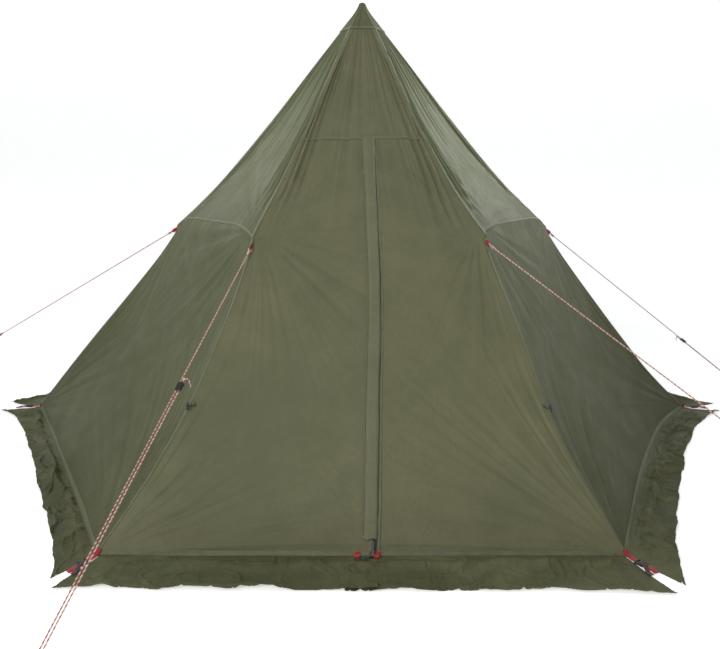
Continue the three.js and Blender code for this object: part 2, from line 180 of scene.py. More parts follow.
def wrinkles(k, X, V, q):
    """Folds out of the face plane, zero on the ridges."""
    out = np.zeros_like(X)
    t = 1 - V / SL
    hw = np.maximum(1.0 * t, 1e-4)
    a = X / hw
    # from the peak: folds that open downwards
    r, th = polar(X, V, 0, SL)
    th = np.arctan2(X, SL - V)
    env = smooth((r - 0.03) / 0.16) * np.exp(-((r - 0.22) / 0.62).clip(0) ** 1.4)
    out += 0.0084 * r / 0.4 * env * (0.7 * noise1(th * 26 + 0.6 * noise2(X * 2, V * 1.4, 7 + k), 11 + k) + 0.45 * ridged(noise1(th * 47, 21 + k)))
    # long folds beside the ridges, down to the tie-outs
    for side in (-1, 1):
        ang = math.atan2(1.0, SL) - side * th          # angle inside this ridge
        for off, wid, dep in ((0.018, 0.0062, 0.0105), (0.041, 0.0085, 0.0092), (0.072, 0.011, 0.0056)):
            o = off * (1 + 0.16 * noise1(V * 2.1, 31 + k + side)) + 0.010 * np.clip(r - 0.7, 0, 1)
            groove = np.exp(-((ang - o) / wid) ** 2) - 0.75 * np.exp(-((ang - o - 1.9 * wid) / wid) ** 2)
            out -= dep * groove * smooth((r - 0.20) / 0.25) * smooth((1.62 - r) / 0.5)
    # from each base corner
    for side in (-1, 1):
        r, _ = polar(X, V, side * 1.0, 0)
        th = np.arctan2(V, side * (side * 1.0 - X) + 1e-9)
        env = smooth((r - 0.015) / 0.10) * np.exp(-((r - 0.12) / 0.42).clip(0) ** 1.2)
        out += 0.0260 * r * env * (0.8 * noise1(th * 13 + 0.4 * noise1(r * 6, 3), 41 + k * 3 + side) + 0.5 * ridged(noise1(th * 27, 51 + k * 3 + side)))
    # from each tie-out
    for side in (-1, 1):
        c = k if side < 0 else (k + 1) % 6
        tt = GUY[NAMES[c]][0]
        x0, v0 = side * tt, SL * (1 - tt)
        r, _ = polar(X, V, x0, v0)
        th = np.arctan2(V - v0, side * (x0 - X) + 1e-9)
        env = smooth((r - 0.015) / 0.07) * np.exp(-((r - 0.07) / 0.30).clip(0) ** 1.2)
        out += 0.0270 * r * env * (0.8 * noise1(th * 9, 61 + k * 3 + side) + 0.5 * ridged(noise1(th * 19, 71 + k * 3 + side)))
    # slow swell, and light handling creases
    out += 0.0046 * noise2(X * 2.1 + 3, V * 1.5, 81 + k) + 0.0016 * noise2(X * 6.5, V * 4.5, 91 + k)
    w1 = noise2(X * 3.2, V * 3.2, 101 + k)
    out += 0.0013 * np.exp(-(noise2(X * 4.4 + 2 * w1, V * 4.4, 111 + k) / 0.18) ** 2) * smooth(noise2(X * 1.7, V * 1.7, 121 + k) * 2)
    if k == 0:
        z = np.abs(X - ZX)
        low = smooth((DV - V) / 0.05)
        pk = noise1(V * 30 + np.where(X > ZX, 1.1, -0.9) * z * 16 + 0.6 * noise1(z * 18, 5), 131)
        out += low * (0.0030 * pk + 0.0017 * ridged(noise1(V * 57 - z * 22, 132))) * np.exp(-z / 0.060) * smooth(z / 0.010) * (0.55 + 0.45 * noise1(V * 4, 133))
        # bunching above the hem and gathers above the door seam
        reach = np.clip(1 - np.abs(X - ZX), 0, 1)
        for off, dep, slope, sd in ((0.026, 0.0085, 0.030, 141), (0.052, 0.0060, 0.060, 142), (0.085, 0.0042, 0.100, 143)):
            line = off + slope * reach * (0.8 + 0.2 * noise1(X * 3, sd))
            out += dep * np.exp(-((V - line) / (0.007 + off * 0.12)) ** 2) * smooth(reach / 0.6) * (0.7 + 0.3 * noise1(X * 5, sd + 3))
        out -= 0.0042 * np.exp(-((V - 0.075 - 0.03 * (1 - np.abs(X))) / 0.020) ** 2) * smooth((1 - np.abs(X)) / 0.6)
        up = V - DV
        out += 0.0042 * np.exp(-np.clip(up, 0, 9) / 0.16) * smooth(up / 0.02) * (noise1(X * 24, 151) + 0.6 * ridged(noise1(X * 48, 152)))
        out += 0.0030 * np.exp(-np.clip(-up, 0, 9) / 0.10) * smooth(-up / 0.02) * noise1(X * 26, 153)
        out *= 1 - 0.75 * np.exp(-((X - ZX) / 0.020) ** 2) * low
    else:
        # gathers along the cross seam at tie-out height
        vs = SL * 0.492
        d = V - vs
        out += 0.0030 * np.exp(-np.abs(d) / 0.06) * smooth(np.abs(d) / 0.012) * noise1(X * 18, 161 + k)
    return out * (1 - np.exp(-(q / 0.018) ** 1.5)) * smooth(V / 0.012 + 0.15)


def surf(k, X, V, dn=0.0):
    """Point of face k at x along the hem and v up the slope, dn out of the cloth."""
    X, V = np.broadcast_arrays(np.asarray(X, float), np.asarray(V, float))
    t = 1 - V / SL
    hw = np.maximum(t, 1e-5)
    a = np.clip(X / hw, -1, 1)
    P = MID[k] + X[..., None] * EX[k] + V[..., None] * EV[k]
    cl, cr = k, (k + 1) % 6
    dl, dr = ridge_low(cl, t), ridge_low(cr, t)
    wl, wr = ((1 - a) / 2) ** 1.35, ((1 + a) / 2) ** 1.35
    D = dl * wl[..., None] + dr * wr[..., None]
    cosr = SL / RIDGE
    ql, qr = (1 + a) * hw * cosr, (1 - a) * hw * cosr
    # side faces: the cloth stands out along the cross seam between the tie-outs and sags above it
    edge = 1 - np.abs(a) ** 6
    if k:
        vs = SL * 0.492
        d = V - vs
        n = (0.040 * np.exp(-np.abs(d) / 0.20) - 0.012 * np.exp(-((V - SL * 0.72) / 0.35) ** 2) - 0.022 * np.exp(-((V - SL * 0.24) / 0.42) ** 2)) * edge
    else:
        n = (-0.008 * np.sin(np.pi * np.clip(t, 0, 1))) * edge
        zip_pull = np.exp(-((X - ZX) / 0.26) ** 2) * smooth((DV + 0.25 - V) / 0.3)
        flat = D @ NF[0]
        D = D - (flat * zip_pull)[..., None] * NF[0]
        n = n * (1 - zip_pull)
    inward, up, deep = HEM[k]
    u = (a + 1) / 2
    u = np.where(u < deep, u / deep * 0.5, 0.5 + (u - deep) / (1 - deep) * 0.5)
    h = np.sin(np.pi * u) ** 0.85 * smooth((t - 0.62) / 0.38) ** 1.5
    D = D - (inward * h)[..., None] * NH[k] + (up * h)[..., None] * V3(0, 0, 1)
    n = n + wrinkles(k, X, V, np.minimum(ql, qr)) + dn
    P = P + D + n[..., None] * NF[k]
    for c, q in ((cl, ql), (cr, qr)):
        P = P + nose(c, t, q)[..., None] * tie(c)[1]
    P[..., 2] = P[..., 2] + 0.005 * (1 - V / SL) ** 8
    return P


# ------------------------------------------------------------------ mesh helpers
def make(name, verts, faces, mat, uv=None, smooth_shade=True):
    me = bpy.data.meshes.new(name)
    me.from_pydata([tuple(map(float, v)) for v in verts], [], [tuple(map(int, f)) for f in faces])
    me.update()
    if uv is not None:
        lay = me.uv_layers.new(name="UVMap")
        loops = np.zeros(len(me.loops), np.int32)
        me.loops.foreach_get("vertex_index", loops)
        lay.data.foreach_set("uv", np.asarray(uv, np.float32)[loops].ravel())
    if smooth_shade:
        me.polygons.foreach_set("use_smooth", np.ones(len(me.polygons), bool))
    me.materials.append(mat)
    o = bpy.data.objects.new(name, me)
    bpy.context.scene.collection.objects.link(o)
    return o


def grid(name, P, mat, uv=None, thick=0.0, flip=False, close_u=False):
    """P is rows x columns x 3. With a thickness, the sheet is doubled inwards and its rim is closed."""
    nr, nc = P.shape[:2]
    verts = P.reshape(-1, 3)
    uvs = None if uv is None else np.asarray(uv).reshape(-1, 2)
    i = np.arange(nr - 1)[:, None] * nc + np.arange(nc - 1)[None, :]
    f = np.stack([i, i + 1, i + 1 + nc, i + nc], -1).reshape(-1, 4)
    if close_u:
        j = np.arange(nr - 1) * nc + nc - 1
        f = np.vstack([f, np.stack([j, j - nc + 1, j + 1, j + nc], -1)])
    if flip:
        f = f[:, ::-1]
    if thick:
        du = np.gradient(P, axis=1)
        dv = np.gradient(P, axis=0)
        nn = np.cross(du, dv)
        nn /= np.maximum(np.linalg.norm(nn, axis=-1, keepdims=True), 1e-12)
        if flip:
            nn = -nn
        n0 = len(verts)
        verts = np.vstack([verts, (P - nn * thick).reshape(-1, 3)])
        if uvs is not None:
            uvs = np.vstack([uvs, uvs])
        f2 = f[:, ::-1] + n0
        rim = []
        ring = [c for c in range(nc)] + [r * nc + nc - 1 for r in range(1, nr)] + [(nr - 1) * nc + c for c in range(nc - 2, -1, -1)] + [r * nc for r in range(nr - 2, 0, -1)]
        for p, q in zip(ring, ring[1:] + ring[:1]):
            rim.append((p, p + n0, q + n0, q) if not flip else (q, q + n0, p + n0, p))
        f = np.vstack([f, f2, np.array(rim)])
    return make(name, verts, f, mat, uvs)


def join(name, objs):
    objs = [o for o in objs if o]
    bpy.ops.object.select_all(action="DESELECT")
    for o in objs:
        o.select_set(True)
    bpy.context.view_layer.objects.active = objs[0]
    if len(objs) > 1:
        bpy.ops.object.join()
    o = bpy.context.view_layer.objects.active
    o.name = name
    o.data.name = name
    bpy.ops.object.select_all(action="DESELECT")
    return o


def tube(name, pts, r, mat, sides=10, caps=True, turns=0.0):
    """A round tube through points, with UV u along its length in metres and v round it."""
    pts = np.asarray(pts, float)
    n = len(pts)
    rr = np.broadcast_to(np.asarray(r, float), (n,))
    tan = np.gradient(pts, axis=0)
    tan /= np.linalg.norm(tan, axis=1, keepdims=True)
    ref = V3(0, 0, 1) if abs(tan[0][2]) < 0.9 else V3(1, 0, 0)
    a = unit(np.cross(ref, tan[0]))
    rings, s = [], np.concatenate([[0], np.cumsum(np.linalg.norm(np.diff(pts, axis=0), axis=1))])
    for i in range(n):
        a = a - tan[i] * (a @ tan[i])
        a = unit(a)
        b = np.cross(tan[i], a)
        ang = 2 * math.pi * np.arange(sides) / sides
        rings.append(pts[i] + rr[i] * (np.cos(ang)[:, None] * a + np.sin(ang)[:, None] * b))
    verts = np.vstack(rings)
    uv = np.vstack([np.stack([np.full(sides, s[i]), np.abs(np.arange(sides) / sides * 2 - 1)], 1) for i in range(n)])
    f = []
    for i in range(n - 1):
        for j in range(sides):
            k = (j + 1) % sides
            f.append((i * sides + j, i * sides + k, (i + 1) * sides + k, (i + 1) * sides + j))
    me_faces = f
    if caps:
        me_faces = f + [tuple(range(sides))[::-1], tuple((n - 1) * sides + j for j in range(sides))]
    return make(name, verts, me_faces, mat, uv)


def ribbon(name, path, width_dir, width, thick, mat, nw=5, curl=0.0):
    """A flat web along a path: width_dir is across it, one vector or one per point."""
    path = np.asarray(path, float)
    n = len(path)
    wd = np.broadcast_to(np.asarray(width_dir, float), (n, 3))
    tan = np.gradient(path, axis=0)
    tan /= np.linalg.norm(tan, axis=1, keepdims=True)
    s = np.concatenate([[0], np.cumsum(np.linalg.norm(np.diff(path, axis=0), axis=1))])
    rows, uvs = [], []
    for i in range(n):
        w = unit(wd[i] - tan[i] * (wd[i] @ tan[i]))
        up = np.cross(w, tan[i])
        x = np.linspace(-0.5, 0.5, nw)
        rows.append(path[i] + (x * width)[:, None] * w + (curl * (1 - (2 * x) ** 2))[:, None] * up)
        uvs.append(np.stack([x * width, np.full(nw, s[i])], 1))
    return grid(name, np.array(rows), mat, np.array(uvs), thick=thick)


def resample(pts, step):
    pts = np.asarray(pts, float)
    s = np.concatenate([[0], np.cumsum(np.linalg.norm(np.diff(pts, axis=0), axis=1))])
    q = np.linspace(0, s[-1], max(2, int(s[-1] / step) + 1))
    return np.stack([np.interp(q, s, pts[:, i]) for i in range(3)], 1)


def curve(pts, step):
    """Smooth path through points."""
    pts = np.asarray(pts, float)
    s = np.concatenate([[0], np.cumsum(np.linalg.norm(np.diff(pts, axis=0), axis=1))])
    q = np.linspace(0, s[-1], max(4, int(s[-1] / step) + 1))
    return np.stack([spline(q, s, pts[:, i]) for i in range(3)], 1)


def solid(name, outline, z0, z1, M, mat, bevel=0.0, holes=()):
    """A plate with an outline in the local x-y plane, bevelled."""
    bm = bmesh.new()
    loops = [outline] + list(holes)
    edges = []
    for lp in loops:
        vs = [bm.verts.new((x, y, 0)) for x, y in lp]
        edges += [bm.edges.new((vs[i], vs[(i + 1) % len(vs)])) for i in range(len(vs))]
    bmesh.ops.triangle_fill(bm, use_beauty=True, use_dissolve=True, edges=edges)
    geom = bmesh.ops.extrude_face_region(bm, geom=list(bm.faces))
    top = [g for g in geom["geom"] if isinstance(g, bmesh.types.BMVert)]
    bmesh.ops.translate(bm, verts=top, vec=(0, 0, z1 - z0))
    bmesh.ops.translate(bm, verts=list(bm.verts), vec=(0, 0, z0))
    bmesh.ops.recalc_face_normals(bm, faces=list(bm.faces))
    if bevel:
        sharp = [e for e in bm.edges if len(e.link_faces) == 2 and e.calc_face_angle(0) > 0.6]
        bmesh.ops.bevel(bm, geom=sharp, offset=bevel, segments=3, profile=0.7, affect="EDGES", clamp_overlap=True)
    bmesh.ops.transform(bm, matrix=M, verts=list(bm.verts))
    me = bpy.data.meshes.new(name)
    bm.to_mesh(me)
    bm.free()
    me.polygons.foreach_set("use_smooth", np.ones(len(me.polygons), bool))
    me.materials.append(mat)
    o = bpy.data.objects.new(name, me)
    bpy.context.scene.collection.objects.link(o)
    return o


def basis(o, x, y, z):
    m = Matrix.Identity(4)
    for i, v in enumerate((x, y, z)):
        for j in range(3):
            m[j][i] = float(v[j])
    for j in range(3):
        m[j][3] = float(o[j])
    return m


def rounded(w, h, r, n=5):
    pts = []
    for cx, cy, a0 in ((w / 2 - r, h / 2 - r, 0), (-w / 2 + r, h / 2 - r, 90), (-w / 2 + r, -h / 2 + r, 180), (w / 2 - r, -h / 2 + r, 270)):
        for i in range(n + 1):
            t = math.radians(a0 + 90 * i / n)
            pts.append((cx + r * math.cos(t), cy + r * math.sin(t)))
    return pts


# ------------------------------------------------------------------ materials
class Nodes:
    """Short names for building a node tree."""

    def __init__(self, name):
        self.mat = bpy.data.materials.new(name)
        self.mat.use_nodes = True
        self.t = self.mat.node_tree
        self.t.nodes.clear()
        self.out = self.t.nodes.new("ShaderNodeOutputMaterial")

    def put(self, node, socket, value):
        if isinstance(value, bpy.types.NodeSocket):
            self.t.links.new(value, node.inputs[socket])
        elif value is not None:
            node.inputs[socket].default_value = value

    def math(self, op, a, b=None, c=None, clamp=False):
        n = self.t.nodes.new("ShaderNodeMath")
        n.operation = op
        n.use_clamp = clamp
        for i, v in enumerate((a, b, c)):
            self.put(n, i, v)
        return n.outputs[0]

    def ramp(self, v, a, b, lo=0.0, hi=1.0, kind="SMOOTHSTEP"):
        n = self.t.nodes.new("ShaderNodeMapRange")
        n.interpolation_type = kind
        for s, x in ((0, v), (1, a), (2, b), (3, lo), (4, hi)):
            self.put(n, s, x)
        return n.outputs[0]

    def noise(self, vec=None, scale=5.0, detail=3.0, rough=0.55, dims="3D", w=None, distortion=0.0):
        n = self.t.nodes.new("ShaderNodeTexNoise")
        n.noise_dimensions = dims
        if vec is not None:
            self.put(n, "Vector", vec)
        if w is not None:
            self.put(n, "W", w)
        n.inputs["Scale"].default_value = scale
        n.inputs["Detail"].default_value = detail
        n.inputs["Roughness"].default_value = rough
        n.inputs["Distortion"].default_value = distortion
        return n.outputs[0]

    def voronoi(self, vec, scale, feature="DISTANCE_TO_EDGE"):
        n = self.t.nodes.new("ShaderNodeTexVoronoi")
        n.feature = feature
        self.put(n, "Vector", vec)
        n.inputs["Scale"].default_value = scale
        return n.outputs[0]

    def mix(self, f, a, b):
        n = self.t.nodes.new("ShaderNodeMix")
        n.data_type = "RGBA"
        self.put(n, 0, f)
        self.put(n, 6, a)
        self.put(n, 7, b)
        return n.outputs[2]

    def bump(self, h, strength=1.0, distance=1.0, normal=None):
        n = self.t.nodes.new("ShaderNodeBump")
        n.inputs["Strength"].default_value = strength
        n.inputs["Distance"].default_value = distance
        self.put(n, "Height", h)
        if normal is not None:
            self.put(n, "Normal", normal)
        return n.outputs[0]

    def coords(self, kind="Object"):
        n = self.t.nodes.new("ShaderNodeTexCoord")
        return n.outputs[kind]

    def xyz(self, v):
        n = self.t.nodes.new("ShaderNodeSeparateXYZ")
        self.put(n, 0, v)
        return n.outputs

    def combine(self, x, y, z=0.0):
        n = self.t.nodes.new("ShaderNodeCombineXYZ")
        for i, v in enumerate((x, y, z)):
            self.put(n, i, v)
        return n.outputs[0]

    def surface(self, color, rough, normal=None, metal=0.0, spec=0.5, sheen=0.0, sheen_tint=None, coat=0.0, translucent=0.0):
        p = self.t.nodes.new("ShaderNodeBsdfPrincipled")
        self.put(p, "Base Color", color)
        self.put(p, "Roughness", rough)
        self.put(p, "Metallic", metal)
        self.put(p, "Specular IOR Level", spec)
        self.put(p, "Sheen Weight", sheen)
        if sheen_tint is not None:
            self.put(p, "Sheen Tint", sheen_tint)
        p.inputs["Sheen Roughness"].default_value = 0.45
        self.put(p, "Coat Weight", coat)
        if normal is not None:
            self.put(p, "Normal", normal)
        result = p.outputs[0]
        if translucent:
            tr = self.t.nodes.new("ShaderNodeBsdfTranslucent")
            self.put(tr, "Color", color)
            mx = self.t.nodes.new("ShaderNodeMixShader")
            mx.inputs[0].default_value = translucent
            self.t.links.new(result, mx.inputs[1])
            self.t.links.new(tr.outputs[0], mx.inputs[2])
            result = mx.outputs[0]
        self.t.links.new(result, self.out.inputs[0])
        return self.mat


def rgb(r, g, b):
    """From screen values 0-255 to linear."""
    f = lambda c: (c / 255 / 12.92) if c / 255 <= 0.04045 else ((c / 255 + 0.055) / 1.055) ** 2.4
    return (f(r), f(g), f(b), 1.0)


def weave_height(m, uvx, uvy, pitch=0.0009):
    """Plain weave with a stronger rip-stop yarn every few millimetres."""
    k = 2 * math.pi / pitch
    a = m.math("SINE", m.math("MULTIPLY", uvx, k))
    b = m.math("SINE", m.math("MULTIPLY", uvy, k))
    ab = m.math("MULTIPLY", a, b)
    rx = m.math("ABSOLUTE", m.math("SINE", m.math("MULTIPLY", uvx, math.pi / 0.0062)))
    ry = m.math("ABSOLUTE", m.math("SINE", m.math("MULTIPLY", uvy, math.pi / 0.0062)))
    rip = m.math("SUBTRACT", 1.0, m.math("MINIMUM", m.ramp(rx, 0.0, 0.16), m.ramp(ry, 0.0, 0.16)))
    return m.math("ADD", m.math("MULTIPLY", ab, 0.000035), m.math("MULTIPLY", rip, 0.00007)), rip


def canvas_material(name, base, dark, wall=True, painted_highlight=None, fine=1.0, sheen=0.06):
    m = Nodes(name)
    uv = m.coords("UV")
    s = m.xyz(uv)
    x, v = s[0], s[1]
    wv, rip = weave_height(m, x, v)
    obj = m.coords("Object")
    big = m.noise(obj, 1.3, 4, 0.55)
    mid = m.noise(obj, 9.0, 5, 0.6)
    small = m.noise(obj, 70.0, 3, 0.5)
    f = m.math("ADD", m.math("MULTIPLY", big, 0.55), m.math("ADD", m.math("MULTIPLY", mid, 0.30), m.math("MULTIPLY", small, 0.15)))
    color = m.mix(m.ramp(f, 0.38, 0.64), dark, base)
    if painted_highlight is not None:
        # painted highlight: from 1.12 m to 1.30 m up, the colour blends up to 35% towards a lighter tone, standing in
        # for light glancing off the upper cloth
        z = m.xyz(obj)[2]
        color = m.mix(m.math("MULTIPLY", m.ramp(z, 1.12, 1.30), 0.35), color, painted_highlight)
    yarn = m.ramp(rip, 0.2, 1.0, 0.0, 0.10)
    color = m.mix(yarn, color, (base[0] * 1.5, base[1] * 1.5, base[2] * 1.5, 1))
    z = m.xyz(obj)[2]
    dirt = m.math("MULTIPLY", m.ramp(z, 0.16, 0.0), m.ramp(m.noise(obj, 24.0, 6, 0.65), 0.42, 0.72))
    color = m.mix(m.math("MULTIPLY", dirt, 0.32), color, (0.10, 0.085, 0.055, 1))
    h = wv
    if wall:
        # fine pull lines from the peak, the base corners and the tie-outs
        anchors = [(0.0, SL, 30.0, 0.0042, 0.10, 1.1), (-1.0, 0.0, 22.0, 0.0034, 0.05, 0.95), (1.0, 0.0, 22.0, 0.0034, 0.05, 0.95),
                   (-0.51, SL * 0.49, 17.0, 0.0042, 0.03, 0.62), (0.51, SL * 0.49, 17.0, 0.0042, 0.03, 0.62)]
        for i, (x0, v0, k, amp, r0, r1) in enumerate(anchors):
            dx = m.math("SUBTRACT", x, x0)
            dv = m.math("SUBTRACT", v, v0)
            r = m.math("SQRT", m.math("ADD", m.math("MULTIPLY", dx, dx), m.math("MULTIPLY", dv, dv)))
            th = m.math("ARCTAN2", dx, dv) if i else m.math("ARCTAN2", dx, m.math("MULTIPLY", dv, -1.0))
            wob = m.math("MULTIPLY", m.noise(obj, 3.0, 2), 0.10)
            n = m.noise(None, 1.0, 3, 0.62, dims="1D", w=m.math("ADD", m.math("MULTIPLY", m.math("ADD", th, wob), k), 7.3 * i))
            env = m.math("MULTIPLY", m.ramp(r, r0 * 0.3, r0 * 2), m.ramp(r, r1, r0 * 2))
            h = m.math("ADD", h, m.math("MULTIPLY", m.math("MULTIPLY", m.math("SUBTRACT", n, 0.5), m.math("MULTIPLY", r, amp * fine)), env))
    cw = m.noise(m.combine(m.math("MULTIPLY", x, 7.0), m.math("MULTIPLY", v, 5.0), m.math("MULTIPLY", m.noise(obj, 4.0, 3), 1.6)), 1.0, 4, 0.55)
    crease = m.math("MULTIPLY", m.ramp(m.math("ABSOLUTE", m.math("SUBTRACT", cw, 0.5)), 0.030, 0.0), m.ramp(m.noise(obj, 2.2, 2), 0.46, 0.66))
    h = m.math("ADD", h, m.math("MULTIPLY", crease, 0.0010 * fine))
    h = m.math("ADD", h, m.math("MULTIPLY", m.noise(obj, 34.0, 4, 0.6), 0.0009 * fine))
    rough = m.ramp(m.noise(obj, 6.0, 4), 0.3, 0.7, 0.50, 0.64)
    nrm = m.bump(h)
    return m.surface(color, rough, nrm, spec=0.16, sheen=sheen * 0.6, sheen_tint=(0.82, 0.84, 0.50, 1), translucent=0.05)


OLIVE = rgb(104, 104, 79)
OLIVE_D = rgb(93, 94, 70)
# painted shade: the side walls use a darker copy of the front olive, standing in for the weaker light that reaches
# them
SIDE_OLIVE_SHADED = rgb(84, 88, 62)
SIDE_OLIVE_SHADED_DARK = rgb(75, 79, 55)
M_FRONT = canvas_material("canvas_front", OLIVE, OLIVE_D, sheen=0.08)
# the side walls get a painted highlight on their upper part
M_SIDE = canvas_material("canvas_side", SIDE_OLIVE_SHADED, SIDE_OLIVE_SHADED_DARK, painted_highlight=rgb(96, 102, 77))
M_SKIRT = canvas_material("canvas_skirt", rgb(95, 98, 69), rgb(68, 71, 48), wall=False, fine=2.4)
M_FLAP = canvas_material("canvas_flap", rgb(106, 106, 83), rgb(97, 98, 76), wall=False, fine=1.0)
M_CAP = canvas_material("canvas_cap", rgb(92, 94, 71), rgb(80, 83, 61), wall=False, fine=0.8)


def seam_material():
    m = Nodes("seam_tape")
    uv = m.xyz(m.coords("UV"))
    x, v = uv[0], uv[1]
    wv, rip = weave_height(m, x, v)
    obj = m.coords("Object")
    # two rows of stitches: dashes along v at +-4 mm
    dash = m.ramp(m.math("ABSOLUTE", m.math("SUBTRACT", m.math("FRACT", m.math("MULTIPLY", v, 1 / 0.0042)), 0.5)), 0.36, 0.30)
    row = m.ramp(m.math("ABSOLUTE", m.math("SUBTRACT", m.math("ABSOLUTE", x), 0.0038)), 0.0009, 0.0004)
    st = m.math("MULTIPLY", dash, row)
    color = m.mix(m.ramp(m.noise(obj, 30.0, 4), 0.35, 0.7), rgb(90, 92, 68), rgb(100, 102, 77))
    color = m.mix(m.math("MULTIPLY", st, 0.8), color, rgb(58, 60, 42))
    h = m.math("ADD", wv, m.math("ADD", m.math("MULTIPLY", st, 0.0006), m.math("MULTIPLY", m.noise(obj, 60.0, 3), 0.0006)))
    h = m.math("SUBTRACT", h, m.math("MULTIPLY", row, 0.0004))
    return m.surface(color, 0.6, m.bump(h), spec=0.4, sheen=0.15, sheen_tint=(0.7, 0.78, 0.6, 1))


def web_material(name, a, b, pitch=0.0022):
    """Woven webbing: a herringbone with some wear."""
    m = Nodes(name)
    uv = m.xyz(m.coords("UV"))
    x, v = uv[0], uv[1]
    zig = m.math("ABSOLUTE", m.math("SUBTRACT", m.math("FRACT", m.math("MULTIPLY", x, 1 / 0.006)), 0.5))
    rib = m.math("SINE", m.math("MULTIPLY", m.math("ADD", v, m.math("MULTIPLY", zig, 0.004)), 2 * math.pi / pitch))
    obj = m.coords("Object")
    fuzz = m.noise(obj, 420.0, 4, 0.7)
    # painted shade: the webbing is darker in the low grooves of the weave ribs; the fine fuzz adds a random tone as
    # well
    f = m.math("ADD", m.math("MULTIPLY", rib, 0.22), m.math("MULTIPLY", fuzz, 0.9))
    color = m.mix(m.ramp(f, 0.15, 0.75), b, a)
    wear = m.ramp(m.noise(obj, 55.0, 5, 0.7), 0.60, 0.80)
    color = m.mix(m.math("MULTIPLY", wear, 0.25), color, (min(a[0] * 1.8 + .05, 1), a[1] * 1.8 + .05, a[2] * 1.8 + .05, 1))
    h = m.math("ADD", m.math("MULTIPLY", rib, 0.00018), m.math("MULTIPLY", fuzz, 0.00022))
    return m.surface(color, m.ramp(fuzz, 0.3, 0.7, 0.68, 0.86), m.bump(h), spec=0.3, sheen=0.35, sheen_tint=(1, 0.75, 0.72, 1))


def cord_material(name, cream, red, amount=0.46):
    """Braided cord with coloured flecks that wind round it."""
    m = Nodes(name)
    uv = m.xyz(m.coords("UV"))
    u, w = uv[0], uv[1]
    k = 1 / 0.017
    s1 = m.math("FRACT", m.math("ADD", m.math("MULTIPLY", u, k), m.math("MULTIPLY", w, 0.5)))
    s2 = m.math("FRACT", m.math("SUBTRACT", m.math("MULTIPLY", u, k * 0.5), m.math("MULTIPLY", w, 0.5)))
    fl = m.math("MULTIPLY", m.ramp(s1, amount, amount - 0.06), m.ramp(s2, 0.95, 0.85))
    br1 = m.math("SINE", m.math("MULTIPLY", m.math("ADD", u, m.math("MULTIPLY", w, 0.006)), 2 * math.pi / 0.0021))
    br2 = m.math("SINE", m.math("MULTIPLY", m.math("SUBTRACT", u, m.math("MULTIPLY", w, 0.006)), 2 * math.pi / 0.0021))
    br = m.math("MULTIPLY", br1, br2)
    obj = m.coords("Object")
    fuzz = m.noise(obj, 500.0, 3, 0.6)
    color = m.mix(fl, cream, red)
    # painted shade: the cord turns dark brown between the braid strands, where the bump is low
    color = m.mix(m.ramp(m.math("ADD", br, fuzz), -0.4, 0.7), (0.25, 0.2, 0.17, 1), color)
    h = m.math("ADD", m.math("MULTIPLY", br, 0.00025), m.math("MULTIPLY", fuzz, 0.0002))
    return m.surface(color, 0.72, m.bump(h), spec=0.35, sheen=0.3, sheen_tint=(1, 0.9, 0.85, 1))


def plastic_material(name, base, rough=0.38, texture=0.00008):
    m = Nodes(name)
    obj = m.coords("Object")
    grain = m.noise(obj, 900.0, 3, 0.6)
    scuff = m.ramp(m.noise(obj, 60.0, 6, 0.72), 0.58, 0.80)
    geo = m.t.nodes.new("ShaderNodeNewGeometry")
    edge = m.ramp(geo.outputs["Pointiness"], 0.52, 0.60)
    color = m.mix(m.math("MULTIPLY", scuff, 0.35), base, (base[0] * 3 + 0.03, base[1] * 3 + 0.03, base[2] * 3 + 0.03, 1))
    color = m.mix(m.math("MULTIPLY", edge, 0.5), color, (base[0] + 0.09, base[1] + 0.09, base[2] + 0.09, 1))
    r = m.math("ADD", m.ramp(m.noise(obj, 35.0, 4), 0.3, 0.7, rough - 0.06, rough + 0.10), m.math("MULTIPLY", scuff, 0.15))
    return m.surface(color, r, m.bump(m.math("MULTIPLY", grain, texture)), spec=0.5)


def metal_material(name, base, rough=0.30):
    m = Nodes(name)
    obj = m.coords("Object")
    s = m.xyz(obj)
    brushed = m.noise(m.combine(m.math("MULTIPLY", s[0], 900.0), m.math("MULTIPLY", s[1], 900.0), m.math("MULTIPLY", s[2], 8.0)), 1.0, 3, 0.6)
    stain = m.ramp(m.noise(obj, 9.0, 6, 0.66), 0.52, 0.74)
    color = m.mix(m.math("MULTIPLY", stain, 0.4), base, (base[0] * 0.55, base[1] * 0.52, base[2] * 0.48, 1))
    r = m.math("ADD", m.ramp(brushed, 0.2, 0.8, rough - 0.08, rough + 0.12), m.math("MULTIPLY", stain, 0.18))
    return m.surface(color, r, m.bump(m.math("MULTIPLY", brushed, 0.00004)), metal=1.0)


def rubber_material():
    m = Nodes("rubber_foot")
    obj = m.coords("Object")
    grain = m.noise(obj, 300.0, 5, 0.7)
    dust = m.ramp(m.noise(obj, 28.0, 6, 0.7), 0.45, 0.75)
    color = m.mix(m.math("MULTIPLY", dust, 0.5), (0.018, 0.018, 0.017, 1), (0.10, 0.09, 0.07, 1))
    return m.surface(color, m.ramp(grain, 0.3, 0.7, 0.72, 0.92), m.bump(m.math("MULTIPLY", grain, 0.0003)), spec=0.3)


